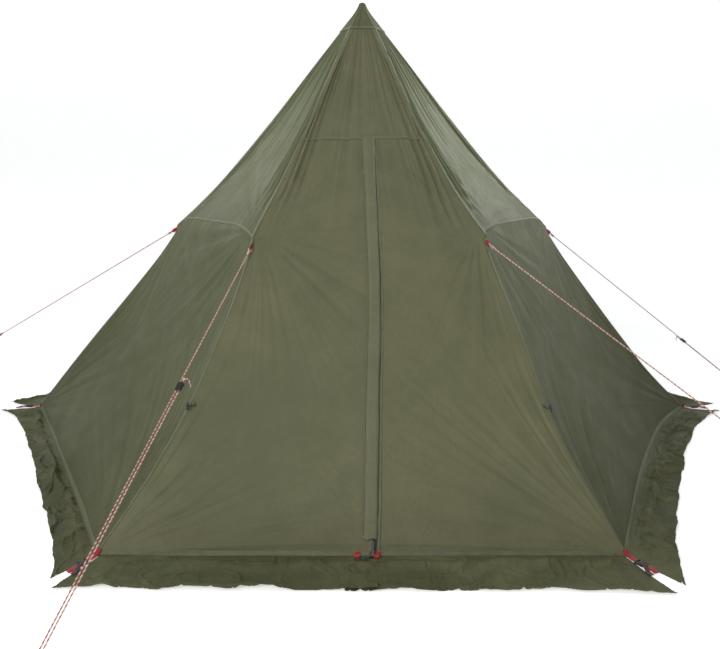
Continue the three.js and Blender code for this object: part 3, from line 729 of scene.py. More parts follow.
M_SEAM = seam_material()
M_RED = web_material("webbing_red", rgb(178, 34, 40), rgb(120, 18, 24))
M_BLACKWEB = web_material("webbing_black", (0.022, 0.022, 0.024, 1), (0.008, 0.008, 0.009, 1))
M_CORD = cord_material("cord_flecked", rgb(232, 214, 200), rgb(176, 40, 44), 0.60)
M_ZIPTAPE = web_material("zip_tape", rgb(58, 60, 46), rgb(40, 42, 32), pitch=0.0012)
M_ZIP = plastic_material("zip_teeth", (0.020, 0.021, 0.017, 1), 0.45)
M_PLASTIC = plastic_material("plastic_black", (0.012, 0.012, 0.013, 1))
M_CHROME = plastic_material("slider_metal", (0.016, 0.016, 0.017, 1), 0.42)
M_STEEL = metal_material("steel_pole", (0.56, 0.57, 0.58, 1), 0.30)
M_PEG = metal_material("steel_peg", (0.50, 0.50, 0.50, 1), 0.36)
M_RUBBER = rubber_material()

# ------------------------------------------------------------------ walls and front
TOPV = SL - 0.045
CLOTH = 0.0012


def spacing(n, power=1.0):
    """0..1, closer together at both ends."""
    u = np.linspace(0, 1, n)
    return u * (1 - power) + power * (0.5 - 0.5 * np.cos(np.pi * u))


def sheet(name, k, v0, v1, left, right, nu, nv, mat, pw=0.55):
    """The cloth of face k between two edges, each an x for a height v."""
    vs = v0 + (v1 - v0) * spacing(nv, 0.25)
    us = spacing(nu, pw)
    V = np.repeat(vs[:, None], nu, 1)
    L, Rr = left(vs)[:, None], right(vs)[:, None]
    X = L + (Rr - L) * us[None, :]
    P = surf(k, X, V)
    return grid(name, P, mat, np.stack([X, V], -1), thick=CLOTH)


half = lambda v: 1.0 * (1 - v / SL)
SIDE_NAMES = {1: "right_front", 2: "right_back", 3: "back", 4: "left_back", 5: "left_front"}
for k, nm in SIDE_NAMES.items():
    o = sheet("wall_" + nm + "_cloth", k, 0.0, TOPV, lambda v: -half(v), half, 150, 230, M_SIDE)
    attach(o, "tent")
    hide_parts("wall_" + nm)

o = sheet("front_top_cloth", 0, DV, TOPV, lambda v: -half(v), half, 110, 100, M_FRONT)
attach(o, "tent")
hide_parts("front_top_panel")

# each side of the door is one sheet; the fold from the base corner to the zip top is worked out, but the sheet is not
# bent along it
fold_l = (V3(*(MID[0] + EX[0] * -1.0)), MID[0] + EX[0] * ZX + EV[0] * DV)
fold_r = (V3(*(MID[0] + EX[0] * 1.0)), MID[0] + EX[0] * ZX + EV[0] * DV)
o = sheet("door_cloth_left", 0, 0.0, DV - 0.0004, lambda v: -half(v), lambda v: 0 * v + ZX - 0.0014, 150, 190, M_FRONT)
d = unit(fold_l[1] - fold_l[0])
across = unit(np.cross(NF[0], d))                 # in the face, square to the fold
across = across if across[0] > 0 else -across
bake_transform(o)
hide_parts("front_panel_left", "door_leaf_left")
FOLD_L, ACROSS_L = fold_l[0], across
o = sheet("door_cloth_right", 0, 0.0, DV - 0.0004, lambda v: 0 * v + ZX + 0.0014, half, 150, 190, M_FRONT)
d = unit(fold_r[1] - fold_r[0])
across = unit(np.cross(NF[0], d))
across = across if across[0] < 0 else -across
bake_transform(o)
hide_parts("front_panel_right", "door_leaf_right")
FOLD_R, ACROSS_R = fold_r[0], across


# ------------------------------------------------------------------ seams and bands on the cloth
def band(name, k, line, width, mat, dn=0.0011, nw=5, thick=0.0012, step=0.012):
    """A strip on face k along a line of (x, v) points."""
    line = np.asarray(line, float)
    s = np.concatenate([[0], np.cumsum(np.hypot(*np.diff(line, axis=0).T))])
    q = np.linspace(0, s[-1], max(3, int(s[-1] / step)))
    x, v = np.interp(q, s, line[:, 0]), np.interp(q, s, line[:, 1])
    tx, tv = np.gradient(x), np.gradient(v)
    ln = np.hypot(tx, tv)
    nx, nv = -tv / ln, tx / ln
    w = np.linspace(-0.5, 0.5, nw) * width
    X = x[:, None] + nx[:, None] * w
    V = np.maximum(v[:, None] + nv[:, None] * w, 0.0)
    lim = half(V) - 0.0005
    X = np.clip(X, -lim, lim)
    P = surf(k, X, V, dn + 0.0006 * (1 - (2 * np.linspace(-0.5, 0.5, nw)) ** 4))
    UV = np.stack([np.broadcast_to(w, X.shape), np.broadcast_to(q[:, None], X.shape)], -1)
    return grid(name, P, mat, UV, thick=thick, flip=True)


parts = []
for k in range(1, 6):
    v0 = SL * 0.492
    parts.append(band(f"cross_seam_{k}", k, [(-half(v0) + 0.006, v0), (half(v0) - 0.006, v0)], 0.010, M_SEAM, dn=0.0007))
for k in range(6):
    for sgn in (-1, 1):
        if k == 0:
            continue
        line = [(sgn * (half(v) - 0.011), v) for v in np.linspace(0.02, TOPV - 0.05, 60)]
        parts.append(band(f"ridge_seam_{k}_{sgn}", k, line, 0.013, M_SEAM, nw=4))
line = [(-(half(v) - 0.011), v) for v in np.linspace(DV + 0.01, TOPV - 0.05, 20)]
parts.append(band("ridge_seam_fl", 0, line, 0.013, M_SEAM, nw=4))
line = [((half(v) - 0.011), v) for v in np.linspace(DV + 0.01, TOPV - 0.05, 20)]
parts.append(band("ridge_seam_fr", 0, line, 0.013, M_SEAM, nw=4))
parts.append(band("door_seam", 0, [(-half(DV) + 0.003, DV + 0.006), (half(DV) - 0.003, DV + 0.006)], 0.013, M_SEAM, step=0.008))
o = join("seams", parts)
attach(o, "tent")

# hem bands, one per side
for k, nm in SIDE_NAMES.items():
    o = band("hem_" + nm, k, [(-0.985, 0.0105), (0.985, 0.0105)], 0.020, M_SEAM, step=0.010)
    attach(o, "tent")
for side, body, a, b in (("left", "leaf_left", -0.955, ZX - 0.012), ("right", "leaf_right", ZX + 0.012, 0.955)):
    o = band("hem_door_" + side, 0, [(a, 0.0105), (b, 0.0105)], 0.020, M_SEAM, step=0.010)
    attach(o, body)
    e = -0.016 if side == "left" else 0.016
    o = band("zip_edge_" + side, 0, [(ZX + e, 0.012), (ZX + e, DV - 0.045)], 0.013, M_SEAM, dn=0.0010, step=0.010)
    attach(o, body)


# ------------------------------------------------------------------ zip
def teeth(name, side, body, node):
    vs = np.arange(0.012 + (0.0017 if side > 0 else 0.0), DV - 0.026, 0.0034)
    x0 = ZX + side * 0.0046
    # tape
    n = 240
    vv = np.linspace(0.010, DV - 0.024, n)
    w = np.linspace(-0.0032, 0.0030, 5)
    X = np.broadcast_to(x0 + side * 0.0003 + w, (n, 5))
    V = np.repeat(vv[:, None], 5, 1)
    tape = grid(name + "_tape", surf(0, X, V, 0.0004), M_ZIPTAPE, np.stack([X, V], -1), thick=0.0010, flip=True)
    # coil: one turn per tooth, as a ribbed bead
    verts, faces, uv = [], [], []
    cx = ZX + side * 0.0013
    prof = 8
    pts = surf(0, np.full(len(vs) * 2, cx), np.repeat(vs, 2) + np.tile([0.0, 0.0017], len(vs)), 0.0012)
    for i, p in enumerate(pts):
        r = 0.0016 if i % 2 == 0 else 0.0010
        for j in range(prof):
            a = 2 * math.pi * j / prof
            verts.append(p + EX[0] * r * 1.05 * math.cos(a) + NF[0] * r * math.sin(a))
            uv.append((j / prof, i * 0.0017))
    for i in range(len(pts) - 1):
        for j in range(prof):
            q = (j + 1) % prof
            faces.append((i * prof + j, i * prof + q, (i + 1) * prof + q, (i + 1) * prof + j))
    faces.append(tuple(range(prof))[::-1])
    faces.append(tuple((len(pts) - 1) * prof + j for j in range(prof)))
    coil = make(name + "_coil", np.array(verts), faces, M_ZIP, np.array(uv))
    o = join(name, [tape, coil])
    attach(o, body)
    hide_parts(node)


teeth("zip_left", -1, "leaf_left", "zip_coil_left")
teeth("zip_right", 1, "leaf_right", "zip_coil_right")

# strip of cloth behind the zip, sewn to the left leaf
xg = np.linspace(ZX - 0.020, ZX + 0.011, 6)
vg = np.linspace(0.003, DV - 0.030, 260)
X, V = np.meshgrid(xg, vg)
o = grid("zip_underlap", surf(0, X, V, -0.0052), M_ZIPTAPE, np.stack([X, V], -1), thick=0.0008, flip=True)
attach(o, "leaf_left")

# ------------------------------------------------------------------ storm flap
FX0, FX1 = -0.003, 0.0555


def flap_sheet(name, va, vb, nu=16, nv=320):
    """va and vb give the lower and upper end for each share across the flap."""
    us = np.linspace(0, 1, nu)
    lo, hi = va(us), vb(us)
    t = np.linspace(0, 1, nv)[:, None]
    V = lo[None, :] + (hi - lo)[None, :] * t
    wob = 0.0016 * noise1(V * 9, 201) + 0.0008 * noise1(V * 31, 202)
    X = FX0 + (FX1 - FX0) * us[None, :] + wob * us[None, :] ** 3
    lift = 0.0026 + 0.0068 * smooth((X - FX0 - 0.004) / 0.016) - 0.0062 * smooth((X - ZX - 0.0010) / 0.0075)
    puck = 0.0018 * noise1(V * 26 + 3 * noise1(V * 4, 205) + us[None, :] * 0.9, 203) * np.sin(np.pi * us[None, :]) + 0.0016 * (1 + noise1(V * 7, 204)) * us[None, :] ** 2
    sharp = 0.0016 * np.exp(-(noise1(V * 11, 206) / 0.10) ** 2) * smooth(us[None, :] * 2)
    base = surf(0, np.full_like(X, ZX + 0.03), V) - (ZX + 0.03 - X)[..., None] * EX[0]
    P = base + (lift + puck + sharp + 0.0012)[..., None] * NF[0]
    return grid(name, P, M_FLAP, np.stack([X, V], -1), thick=0.0012)


lfv = lambda x: DV * (x + 1.0) / (ZX + 1.0)
xs = lambda u: FX0 + (FX1 - FX0) * u
diag = lambda u: np.minimum(lfv(xs(u)) - 0.008, DV - 0.006)
FT = 1.768                       # the flap is free up to here and sewn down above
o = flap_sheet("storm_flap_cloth", lambda u: 0 * u + 0.060 + 0.003 * np.cos(u * 9), lambda u: 0 * u + FT)
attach(o, "flap")
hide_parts("storm_flap")
o = flap_sheet("storm_flap_top", lambda u: 0 * u + FT + 0.0006, diag, nv=44)
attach(o, "leaf_left")
o = flap_sheet("storm_flap_head", lambda u: diag(u) + 0.0006, lambda u: 0 * u + DV + 0.002, nv=24)
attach(o, "tent")
# stitching line of the sewn edge
vv = np.linspace(0.075, FT - 0.004, 260)
X = np.stack([np.full(260, FX0 + 0.0005 + w) for w in (0.0, 0.0025, 0.005)], 1)
V = np.repeat(vv[:, None], 3, 1)
P = surf(0, np.full_like(X, ZX + 0.03), V) - (ZX + 0.03 - X)[..., None] * EX[0] + 0.0052 * NF[0]
UV = np.stack([X - FX0 - 0.003 + 0.0038, V], -1)
o = grid("storm_flap_stitching", P, M_SEAM, UV, thick=0.0008)
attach(o, "flap")


# ------------------------------------------------------------------ peak cap
def peak():
    nv, nu = 44, 24
    rows = []
    vlo, vhi = (2.182 / UP), SL - 0.012
    for i in range(nv):
        f = i / (nv - 1)
        V = vlo + (vhi - vlo) * f
        ring = []
        for k in range(6):
            hw = half(V)
            x = np.linspace(-hw, hw, nu, endpoint=False)
            q = surf(k, x, np.full(nu, V), 0.0030)
            ring.append(q)
        ring = np.vstack(ring)
        # round the section and the tip, and gather the cloth in folds
        c = ring.mean(0)
        rad = np.linalg.norm((ring - c)[:, :2], axis=1)
        ang = np.arctan2((ring - c)[:, 1], (ring - c)[:, 0])
        goal = rad.mean()
        mixr = rad + (goal - rad) * smooth((f - 0.3) / 0.7) * 0.85
        mixr = np.sqrt(mixr ** 2 + (0.017 * smooth((f - 0.35) / 0.6)) ** 2)
        mixr = mixr * (1 + 0.035 * np.sin(ang * 17 + 2 * np.sin(ang * 3)) * smooth((f - 0.05) / 0.4))
        ring[:, 0] = c[0] + np.cos(ang) * mixr
        ring[:, 1] = c[1] + np.sin(ang) * mixr
        rows.append(ring)
    P = np.array(rows)
    # dome over the tip
    tip = P[-1]
    c = tip.mean(0)
    extra = []
    for j in range(1, 7):
        a = j / 7 * math.pi / 2
        r = np.cos(a)
        q = c + (tip - c) * r
        q[:, 2] = tip[:, 2] + 0.013 * np.sin(a)
        extra.append(q)
    P = np.vstack([P, np.array(extra)])
    nr, nc = P.shape[:2]
    i = np.arange(nr - 1)[:, None] * nc + np.arange(nc)[None, :]
    j = np.arange(nr - 1)[:, None] * nc + (np.arange(nc)[None, :] + 1) % nc
    f = np.stack([i, j, j + nc, i + nc], -1).reshape(-1, 4)
    verts = P.reshape(-1, 3)
    top = len(verts)
    verts = np.vstack([verts, c + V3(0, 0, 0.0135)])
    tri = [((nr - 1) * nc + a, (nr - 1) * nc + (a + 1) % nc, top) for a in range(nc)]
    # inner skin, so that the cap is a closed shell
    n0 = len(verts)
    ctr = P.mean(1, keepdims=True)
    inn = ctr + (P - ctr) * 0.985 - V3(0, 0, 0.0016)
    verts = np.vstack([verts, inn.reshape(-1, 3), c + V3(0, 0, 0.0118)])
    top2 = len(verts) - 1
    f2 = f[:, ::-1] + n0
    tri2 = [((nr - 1) * nc + (a + 1) % nc + n0, (nr - 1) * nc + a + n0, top2) for a in range(nc)]
    rim = [((a + 1) % nc, a, a + n0, (a + 1) % nc + n0) for a in range(nc)]
    allf = [tuple(x) for x in f] + tri + [tuple(x) for x in f2] + tri2 + rim
    ang = np.arctan2(verts[:, 1], verts[:, 0])
    uv = np.stack([ang * 0.06, verts[:, 2]], 1)
    return make("peak_cap_cloth", verts, allf, M_CAP, uv)


o = peak()
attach(o, "tent")
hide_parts("peak_cap")
# stitched lower edge of the cap
parts = []
for k in range(6):
    v0 = 2.182 / UP + 0.006
    parts.append(band(f"cap_hem_{k}", k, [(-half(v0), v0), (half(v0), v0)], 0.013, M_SEAM, dn=0.0040, step=0.006))
o = join("peak_cap_hem", parts)
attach(o, "tent")


# ------------------------------------------------------------------ sod cloths
SK = {0: 0.212, 1: 0.160, 2: 0.190, 3: 0.200, 4: 0.190, 5: 0.132}


def skirt(name, k, xa, xb, nu, nw, seed, width, flare_a=0.0, flare_b=0.0, spread_a=0.0, spread_b=0.0, drop=0.0, lift=0.0, edge=0.0, flat=None):
    """A strip of cloth on the ground along hem k. The ends spread sideways by spread times the distance out."""
    us = np.linspace(0, 1, nu)
    xs_ = xa + (xb - xa) * us
    hem = surf(k, xs_, np.full(nu, 0.0025), 0.0)
    w = np.linspace(0, 1, nw)
    W = width + 0.009 * noise1(xs_ * 4.5, seed) + 0.0055 * noise1(xs_ * 13, seed + 1) + 0.0016 * noise1(xs_ * 52, seed + 2)
    W = W + flare_a * np.exp(-us / 0.05) + flare_b * np.exp(-(1 - us) / 0.05) + edge * smooth((xs_ - xa if xb > 0.3 else xb - xs_) / 0.02)
    D = w[:, None] * W[None, :]                       # out from the hem
    Xg = np.broadcast_to(xs_, D.shape)
    wp = w[:, None]
    # loose crumples: a few soft folds, sharp creases in all directions, and a fine crinkle
    q1 = noise2(Xg * 6, D * 8, seed + 3)
    q2 = noise2(Xg * 8 + 5, D * 7 + 3, seed + 4)
    soft = noise2(Xg * 6.5 + 0.8 * q1, D * 9.0 + 0.6 * q2, seed + 5)
    fold = np.exp(-(noise2(Xg * 5.5 + 1.6 * q1 + D * 5, D * 6 + 1.2 * q2, seed + 6) / 0.085) ** 2)
    crease = np.exp(-(noise2(Xg * 13 + 2.0 * q2, D * 15 + 2.0 * q1, seed + 7) / 0.070) ** 2)
    fine = np.exp(-(noise2(Xg * 29 + 1.5 * q1, D * 33 + 1.5 * q2, seed + 8) / 0.10) ** 2)
    env = smooth(wp / 0.22)
    z = (0.0080 * np.clip(soft + 0.35, 0, 2) + 0.0100 * fold + 0.0056 * crease + 0.0024 * fine) * env
    roll = 0.5 + 0.5 * noise1(xs_ * 2.6, seed + 9)
    z = z + 0.022 * roll[None, :] * np.exp(-((wp - 0.30 - 0.10 * noise1(xs_ * 5, seed + 12)[None, :]) / 0.13) ** 2)
    lip = 0.007 * np.clip(noise1(xs_ * 9, seed + 10), 0, 1)[None, :] * smooth((wp - 0.86) / 0.14)
    hz = hem[:, 2][None, :]
    ends = smooth((0.985 - np.abs(xs_)) / 0.10)[None, :]
    tuck = ends + (1 - ends) * smooth((wp - 0.62) / 0.38) * 0.7
    z, lip = z * tuck, lip * tuck
    if flat is not None:
        keep = 1 - np.exp(-((xs_ - flat) / 0.095) ** 4)[None, :] * (1 - smooth((D - 0.036) / 0.035))
        z, lip = z * keep, lip * keep
        hz = hz * (keep + (1 - keep) * (1 - smooth(D / 0.0055)))
    zz = hz * (1 - smooth(wp / 0.22)) + (0.0018 + np.maximum(z, 0) + lip) * smooth(wp / 0.10)
    zz = np.maximum(zz, 0.0016) + lift * smooth((D - 0.045) / 0.05)
    if drop:
        zz = np.minimum(zz, 0.0022 + drop)
    sx = 0.008 * noise2(Xg * 9 + 4, D * 7, seed + 11) * env
    sx = sx - spread_a * D * np.exp(-us / 0.12) + spread_b * D * np.exp(-(1 - us) / 0.12)
    P = hem[None, :, :] * 1.0 + D[..., None] * NH[k] + sx[..., None] * EX[k]
    P[..., 2] = zz
    return grid(name, P, M_SKIRT, np.stack([Xg + sx, D], -1), thick=0.0011, flip=True)


SPREAD = {1: (0.46, 0.30), 2: (0.24, 0.26), 3: (0.26, 0.26), 4: (0.26, 0.24), 5: (0.26, 0.50)}
for k, nm in SIDE_NAMES.items():
    sa, sb = SPREAD[k]
    o = skirt("skirt_" + nm + "_cloth", k, -0.990, 0.990, 330, 44, 300 + 20 * k, SK[k],
              flare_a=0.040 if k != 5 else 0.085, flare_b=0.035, spread_a=sa, spread_b=sb)
    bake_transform(o)
    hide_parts("skirt_" + nm)
# the front pair laps at the zip: the left one lies over the right one
o = skirt("skirt_front_left_cloth", 0, -0.986, ZX + 0.014, 230, 48, 420, SK[0], flare_a=0.010, spread_a=0.40, lift=0.0034, flat=0.0)
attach(o, "leaf_left")
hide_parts("skirt_front_left")
o = skirt("skirt_front_right_cloth", 0, ZX - 0.018, 0.986, 230, 48, 440, SK[0] + 0.006, flare_b=0.012, spread_a=0.42, spread_b=0.42, flat=0.03)
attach(o, "leaf_right")
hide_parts("skirt_front_right")


# ------------------------------------------------------------------ corner webbing and buckles
def corner(i):
    a = AZ[i]
    rd, td, up = V3(math.cos(a), math.sin(a), 0), V3(-math.sin(a), math.cos(a), 0), V3(0, 0, 1)
    o0 = rd * R
    at = lambda r, w, z: o0 + rd * r + td * w + up * z
    rid = [(-0.020, 0.0265), (-0.011, 0.0175), (0.001, 0.0105), (0.014, 0.0080), (0.036, 0.0075)]
    body = []
    # folded red tab sewn on the ridge foot
    body.append(ribbon("tab", curve([at(r, 0, z) for r, z in rid], 0.004), td, 0.025, 0.0028, M_RED, curl=0.0012))
    # strap through the buckle to the ground loop
    body.append(ribbon("strap", curve([at(0.060, 0.001, 0.0080), at(0.078, 0.002, 0.0066), at(0.096, 0.003, 0.0070), at(0.110, 0.002, 0.0050), at(0.122, 0, 0.0042)], 0.004), td, 0.022, 0.0022, M_RED, curl=0.0008))
    # loose black tail
    s = 1 if i in (1, 2, 3) else -1
    body.append(ribbon("tail", curve([at(0.048, 0.000, 0.0125), at(0.066, -0.004 * s, 0.0140), at(0.088, -0.015 * s, 0.0105), at(0.108, -0.027 * s, 0.0078), at(0.128, -0.034 * s, 0.0098)], 0.004), td, 0.018, 0.0016, M_BLACKWEB, curl=0.001))
    # ladder buckle: a frame with two bars, tilted on the strap
    M = basis(at(0.055, 0, 0.0085), unit(rd + up * 0.05), td, unit(up - rd * 0.05))
    hole = lambda x0, x1: [(x0, -0.0130), (x1, -0.0130), (x1, 0.0130), (x0, 0.0130)]
    body.append(solid("buckle", rounded(0.042, 0.036, 0.006), -0.003, 0.0032, M, M_PLASTIC, 0.0011,
                      holes=[hole(-0.0170, -0.0105), hole(-0.0055, 0.0015), hole(0.0070, 0.0160)]))
    for b in (-0.008, 0.0042):
        body.append(tube("bar", [at(0.055 + b, -0.014, 0.0105), at(0.055 + b, 0.014, 0.0105)], 0.0022, M_PLASTIC, 8))
    o = join("corner_set_" + NAMES[i], body)
    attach(o, "tent")
    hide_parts("corner_strap_" + NAMES[i])


for i in range(6):
    corner(i)


# ------------------------------------------------------------------ tie-outs, guy lines, runners, pegs
def guy(i):
    nm = NAMES[i]
    t, sh, stake, run = GUY[nm]
    P, g = tie(i)
    a = AZ[i]
    ridge = unit(APEX - V3(R * math.cos(a), R * math.sin(a), 0))
    nT = unit(np.cross(g, ridge))
    vT = np.cross(nT, g)
    eye = P + g * REACH
    # red webbing folded round the eye, sewn to the pulled-out cloth
    parts = []
    root = 0.034
    for sgn in (-1, 1):
        path = curve([P + g * root + nT * 0.0014 * sgn, P + g * 0.070 + nT * 0.0020 * sgn, P + g * 0.092 + nT * 0.0052 * sgn, P + g * 0.1005 + nT * 0.0048 * sgn,
                      P + g * 0.1062 + nT * 0.0004 * sgn], 0.003)
        parts.append(ribbon("tie_web", path, vT, 0.0165, 0.0013, M_RED, nw=5))
    # reinforcement of doubled cloth either side
    for sgn in (-1, 1):
        pts = np.array([[P + g * (0.012 + 0.050 * u) + vT * (w * (0.021 - 0.012 * u)) + nT * sgn * 0.0026 for w in np.linspace(-1, 1, 7)] for u in np.linspace(0, 1, 8)])
        uv = np.array([[(w * 0.03, u * 0.05) for w in np.linspace(-1, 1, 7)] for u in np.linspace(0, 1, 8)])
        parts.append(grid("tie_patch", pts, M_SIDE, uv, thick=0.0010, flip=sgn > 0))
    o = join("tieout_set_" + nm, parts)
    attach(o, "tent")
    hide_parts("tieout_" + nm)

    h = unit(np.cross(V3(0, 0, 1), g))
    w = unit(np.cross(g, h))
    w = w if w[2] > 0 else -w
    RC = eye + g * 0.008
    S = V3(stake[0], stake[1], 0.016)
    L = np.linalg.norm(S - RC)
    at = lambda s, x, z=0.0: RC + g * s + h * x + w * z
    runS = run - REACH - 0.008
    cr = 0.0026
    parts = []
    ring = [RC + 0.0078 * (math.cos(q) * g + math.sin(q) * nT) for q in np.linspace(0, 2 * math.pi, 29)]
    parts.append(tube("eye_loop", ring, cr, M_CORD, 10, caps=False))
    # three wraps of the knot under the eye
    for j in range(4):
        c = at(0.013 + 0.0046 * j, 0)
        loop = [c + 0.0040 * (math.cos(q) * h + math.sin(q) * w) + g * 0.0012 * math.sin(q) for q in np.linspace(0, 2 * math.pi, 17)]
        parts.append(tube("wrap", loop, 0.0022, M_CORD, 8, caps=False))
    n = 80
    s = np.linspace(0.009, L - 0.003, n)
    sagz = -0.010 * np.sin(np.pi * s / L)
    parts.append(tube("strand_a", [at(q, 0, 0.0) for q in s], cr, M_CORD, 10))
    loop = [at(L - 0.003 + 0.0062 * math.sin(q) + 0.003, 0.006 - 0.006 * math.cos(q)) for q in np.linspace(0.0, math.pi, 14)]
    parts.append(tube("loop", loop, cr, M_CORD, 10))
    s = np.linspace(L - 0.002, runS - 0.030, 60)
    parts.append(tube("strand_b", [at(q, 0.012) for q in s], cr, M_CORD, 10))
    # stopper knot and a frayed tail above the runner
    kc = at(runS - 0.033, 0.012)
    for j, (r1, dz) in enumerate(((0.0046, 0.0), (0.0040, -0.0042), (0.0036, 0.0040))):
        lp = [kc + g * dz + r1 * (math.cos(q) * h + math.sin(q) * w) * 0.8 + g * 0.0014 * math.sin(q + j) for q in np.linspace(0, 2 * math.pi, 15)]
        parts.append(tube("knot", lp, 0.0024, M_CORD, 8, caps=False))
    tail = curve([kc, kc + h * 0.012 - g * 0.006, kc + h * 0.024 + w * -0.006 + g * 0.006, kc + h * 0.028 + w * -0.020 + g * 0.016], 0.003)
    parts.append(tube("tail", tail, 0.0020, M_CORD, 8))
    o = join("guy_cord_" + nm, parts)
    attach(o, "tent")
    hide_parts("guy_" + nm)

    # runner: a waisted slide with two channels and grip ribs
    parts = []
    prof = [(-0.0190, 0.0098), (-0.0165, 0.0126), (-0.0080, 0.0120), (0.0, 0.0108), (0.0080, 0.0120), (0.0165, 0.0126), (0.0190, 0.0098)]
    outline = [(x, y) for x, y in prof] + [(x, -y) for x, y in reversed(prof)]
    c = at(runS, 0.006)
    hole = []
    M = basis(c, g, h, np.cross(g, h))
    parts.append(solid("runner_top", outline, 0.0034, 0.0062, M, M_PLASTIC, 0.0010))
    parts.append(solid("runner_bottom", outline, -0.0062, -0.0034, M, M_PLASTIC, 0.0010))
    for y in (-0.0106, 0.0, 0.0106):
        ww = 0.0014 if y else 0.0022
        q = [(-0.0165, y - ww), (0.0165, y - ww), (0.0165, y + ww), (-0.0165, y + ww)]
        parts.append(solid("runner_web", q, -0.0038, 0.0038, M, M_PLASTIC, 0.0004))
    for x in (-0.009, -0.003, 0.003, 0.009):
        q = [(x - 0.0009, -0.0085), (x + 0.0009, -0.0085), (x + 0.0009, 0.0085), (x - 0.0009, 0.0085)]
        parts.append(solid("runner_rib", q, 0.0058, 0.0074, M, M_PLASTIC, 0.0005))
    o = join("runner_body_" + nm, parts)
    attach(o, "runner_" + nm)
    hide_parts("runner_" + nm)

    # peg: round wire with a turned hook
    Q = at(L, 0.006)
    pt = lambda s, x: Q + w * s + g * x
    pts = [pt(s, 0) for s in np.linspace(-0.180, 0.012, 20)]
    pts += [pt(0.016 + 0.009 * math.sin(q), 0.009 - 0.009 * math.cos(q)) for q in np.linspace(0.05, math.pi, 12)]
    pts += [pt(0.012, 0.018), pt(0.006, 0.0184)]
    rr = np.full(len(pts), 0.0030)
    rr[0], rr[1], rr[2] = 0.0006, 0.0018, 0.0028
    rr[-1] = 0.0022
    o = tube("peg_wire_" + nm, pts, rr, M_PEG, 12)
    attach(o, "tent")
    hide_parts("peg_" + nm)


for i in range(6):
    guy(i)


# ------------------------------------------------------------------ toggles
def toggle(side, x, z):
    nm = "toggle_" + side
    c = MID[0] + EX[0] * x + EV[0] * (z / UP) + NF[0] * 0.0077
    prof = [(0, -0.0165), (0.0030, -0.0163), (0.0046, -0.0150), (0.0052, -0.0130), (0.0052, -0.0045), (0.0046, -0.0030), (0.0036, -0.0022), (0.0034, 0.0), (0.0036, 0.0022), (0.0046, 0.0030), (0.0052, 0.0045), (0.0052, 0.0130), (0.0046, 0.0150), (0.0030, 0.0163), (0, 0.0165)]
    n = 24
    verts, faces = [], []
    for r, s in prof:
        for j in range(n):
            a = 2 * math.pi * j / n
            verts.append(c + EV[0] * s + EX[0] * max(r, 0.0002) * math.cos(a) + NF[0] * max(r, 0.0002) * math.sin(a))
    for i in range(len(prof) - 1):
        for j in range(n):
            k = (j + 1) % n
            faces.append((i * n + j, i * n + k, (i + 1) * n + k, (i + 1) * n + j))
    faces.append(tuple(range(n))[::-1])
    faces.append(tuple((len(prof) - 1) * n + j for j in range(n)))
    barrel = make(nm + "_barrel", np.array(verts), [f[::-1] for f in faces], M_PLASTIC)
    ring = [c + 0.0046 * (math.cos(q) * EX[0] + math.sin(q) * NF[0]) for q in np.linspace(0, 2 * math.pi, 17)]
    loop = tube(nm + "_loop", ring, 0.0012, M_BLACKWEB, 8, caps=False)
    o = join(nm + "_set", [barrel, loop])
    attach(o, "toggle_" + side[0])
    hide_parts(nm)
    # the elastic loop sewn to the door cloth
    s = -1 if side == "left" else 1
    bv = z / UP + 0.022
    base = surf(0, np.array([s * (half(bv) - 0.012)]), np.array([bv]), 0.001)[0]
    p = curve([base, base + NF[0] * 0.006 - EV[0] * 0.010, c + NF[0] * 0.001 + EV[0] * 0.003 + EX[0] * 0.0045 * s], 0.002)
    p2 = curve([base + EX[0] * 0.004, base + NF[0] * 0.005 - EV[0] * 0.012 + EX[0] * 0.004, c - EV[0] * 0.0030 + EX[0] * 0.0050], 0.002)
    o = join(nm + "_elastic", [tube("e1", p, 0.0012, M_BLACKWEB, 8), tube("e2", p2, 0.0012, M_BLACKWEB, 8)])
    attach(o, "tent")


toggle("left", -0.716, 0.474)
toggle("right", 0.772, 0.468)


# ------------------------------------------------------------------ foot of the door: tabs, ring and clip
y0 = -AP - 0.015
for side, body, x, lean in (("left", "leaf_left", -0.019, 0.0), ("right", "leaf_right", 0.060, -0.006)):
    top = surf(0, np.array([x]), np.array([0.016]), 0.003)[0]
    mid = surf(0, np.array([x]), np.array([0.004]), 0.004)[0]
    pts = [top, mid, V3(x + lean * 0.5, y0 + 0.016, 0.0088), V3(x + lean, y0 + 0.006, 0.0080), V3(x + lean, y0 + 0.006, 0.0046), V3(x + lean * 0.5, y0 + 0.014, 0.0042)]
    o = ribbon("door_tab_" + side, curve(pts, 0.003), EX[0], 0.020, 0.0018, M_RED, curl=0.0004)
    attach(o, body)


def dress(node, mat, bevel=0.0):
    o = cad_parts[node]
    o.data.materials.clear()
    o.data.materials.append(mat)
    if bevel:
        b = o.modifiers.new("edge", "BEVEL")
        b.width = bevel
        b.segments = 3
        b.limit_method = "ANGLE"
        b.angle_limit = math.radians(40)


dress("door_ring", M_PLASTIC)
dress("door_clip", M_PLASTIC, 0.0008)
dress("zip_slider", M_CHROME, 0.0004)
dress("zip_pull", M_CHROME, 0.0003)
dress("pole_lower", M_STEEL, 0.0004)
dress("pole_upper", M_STEEL, 0.0004)
dress("pole_foot", M_RUBBER, 0.0010)
for n in ("door_ring", "pole_lower", "pole_upper", "pole_foot"):
    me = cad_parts[n].data
    me.polygons.foreach_set("use_smooth", np.ones(len(me.polygons), bool))

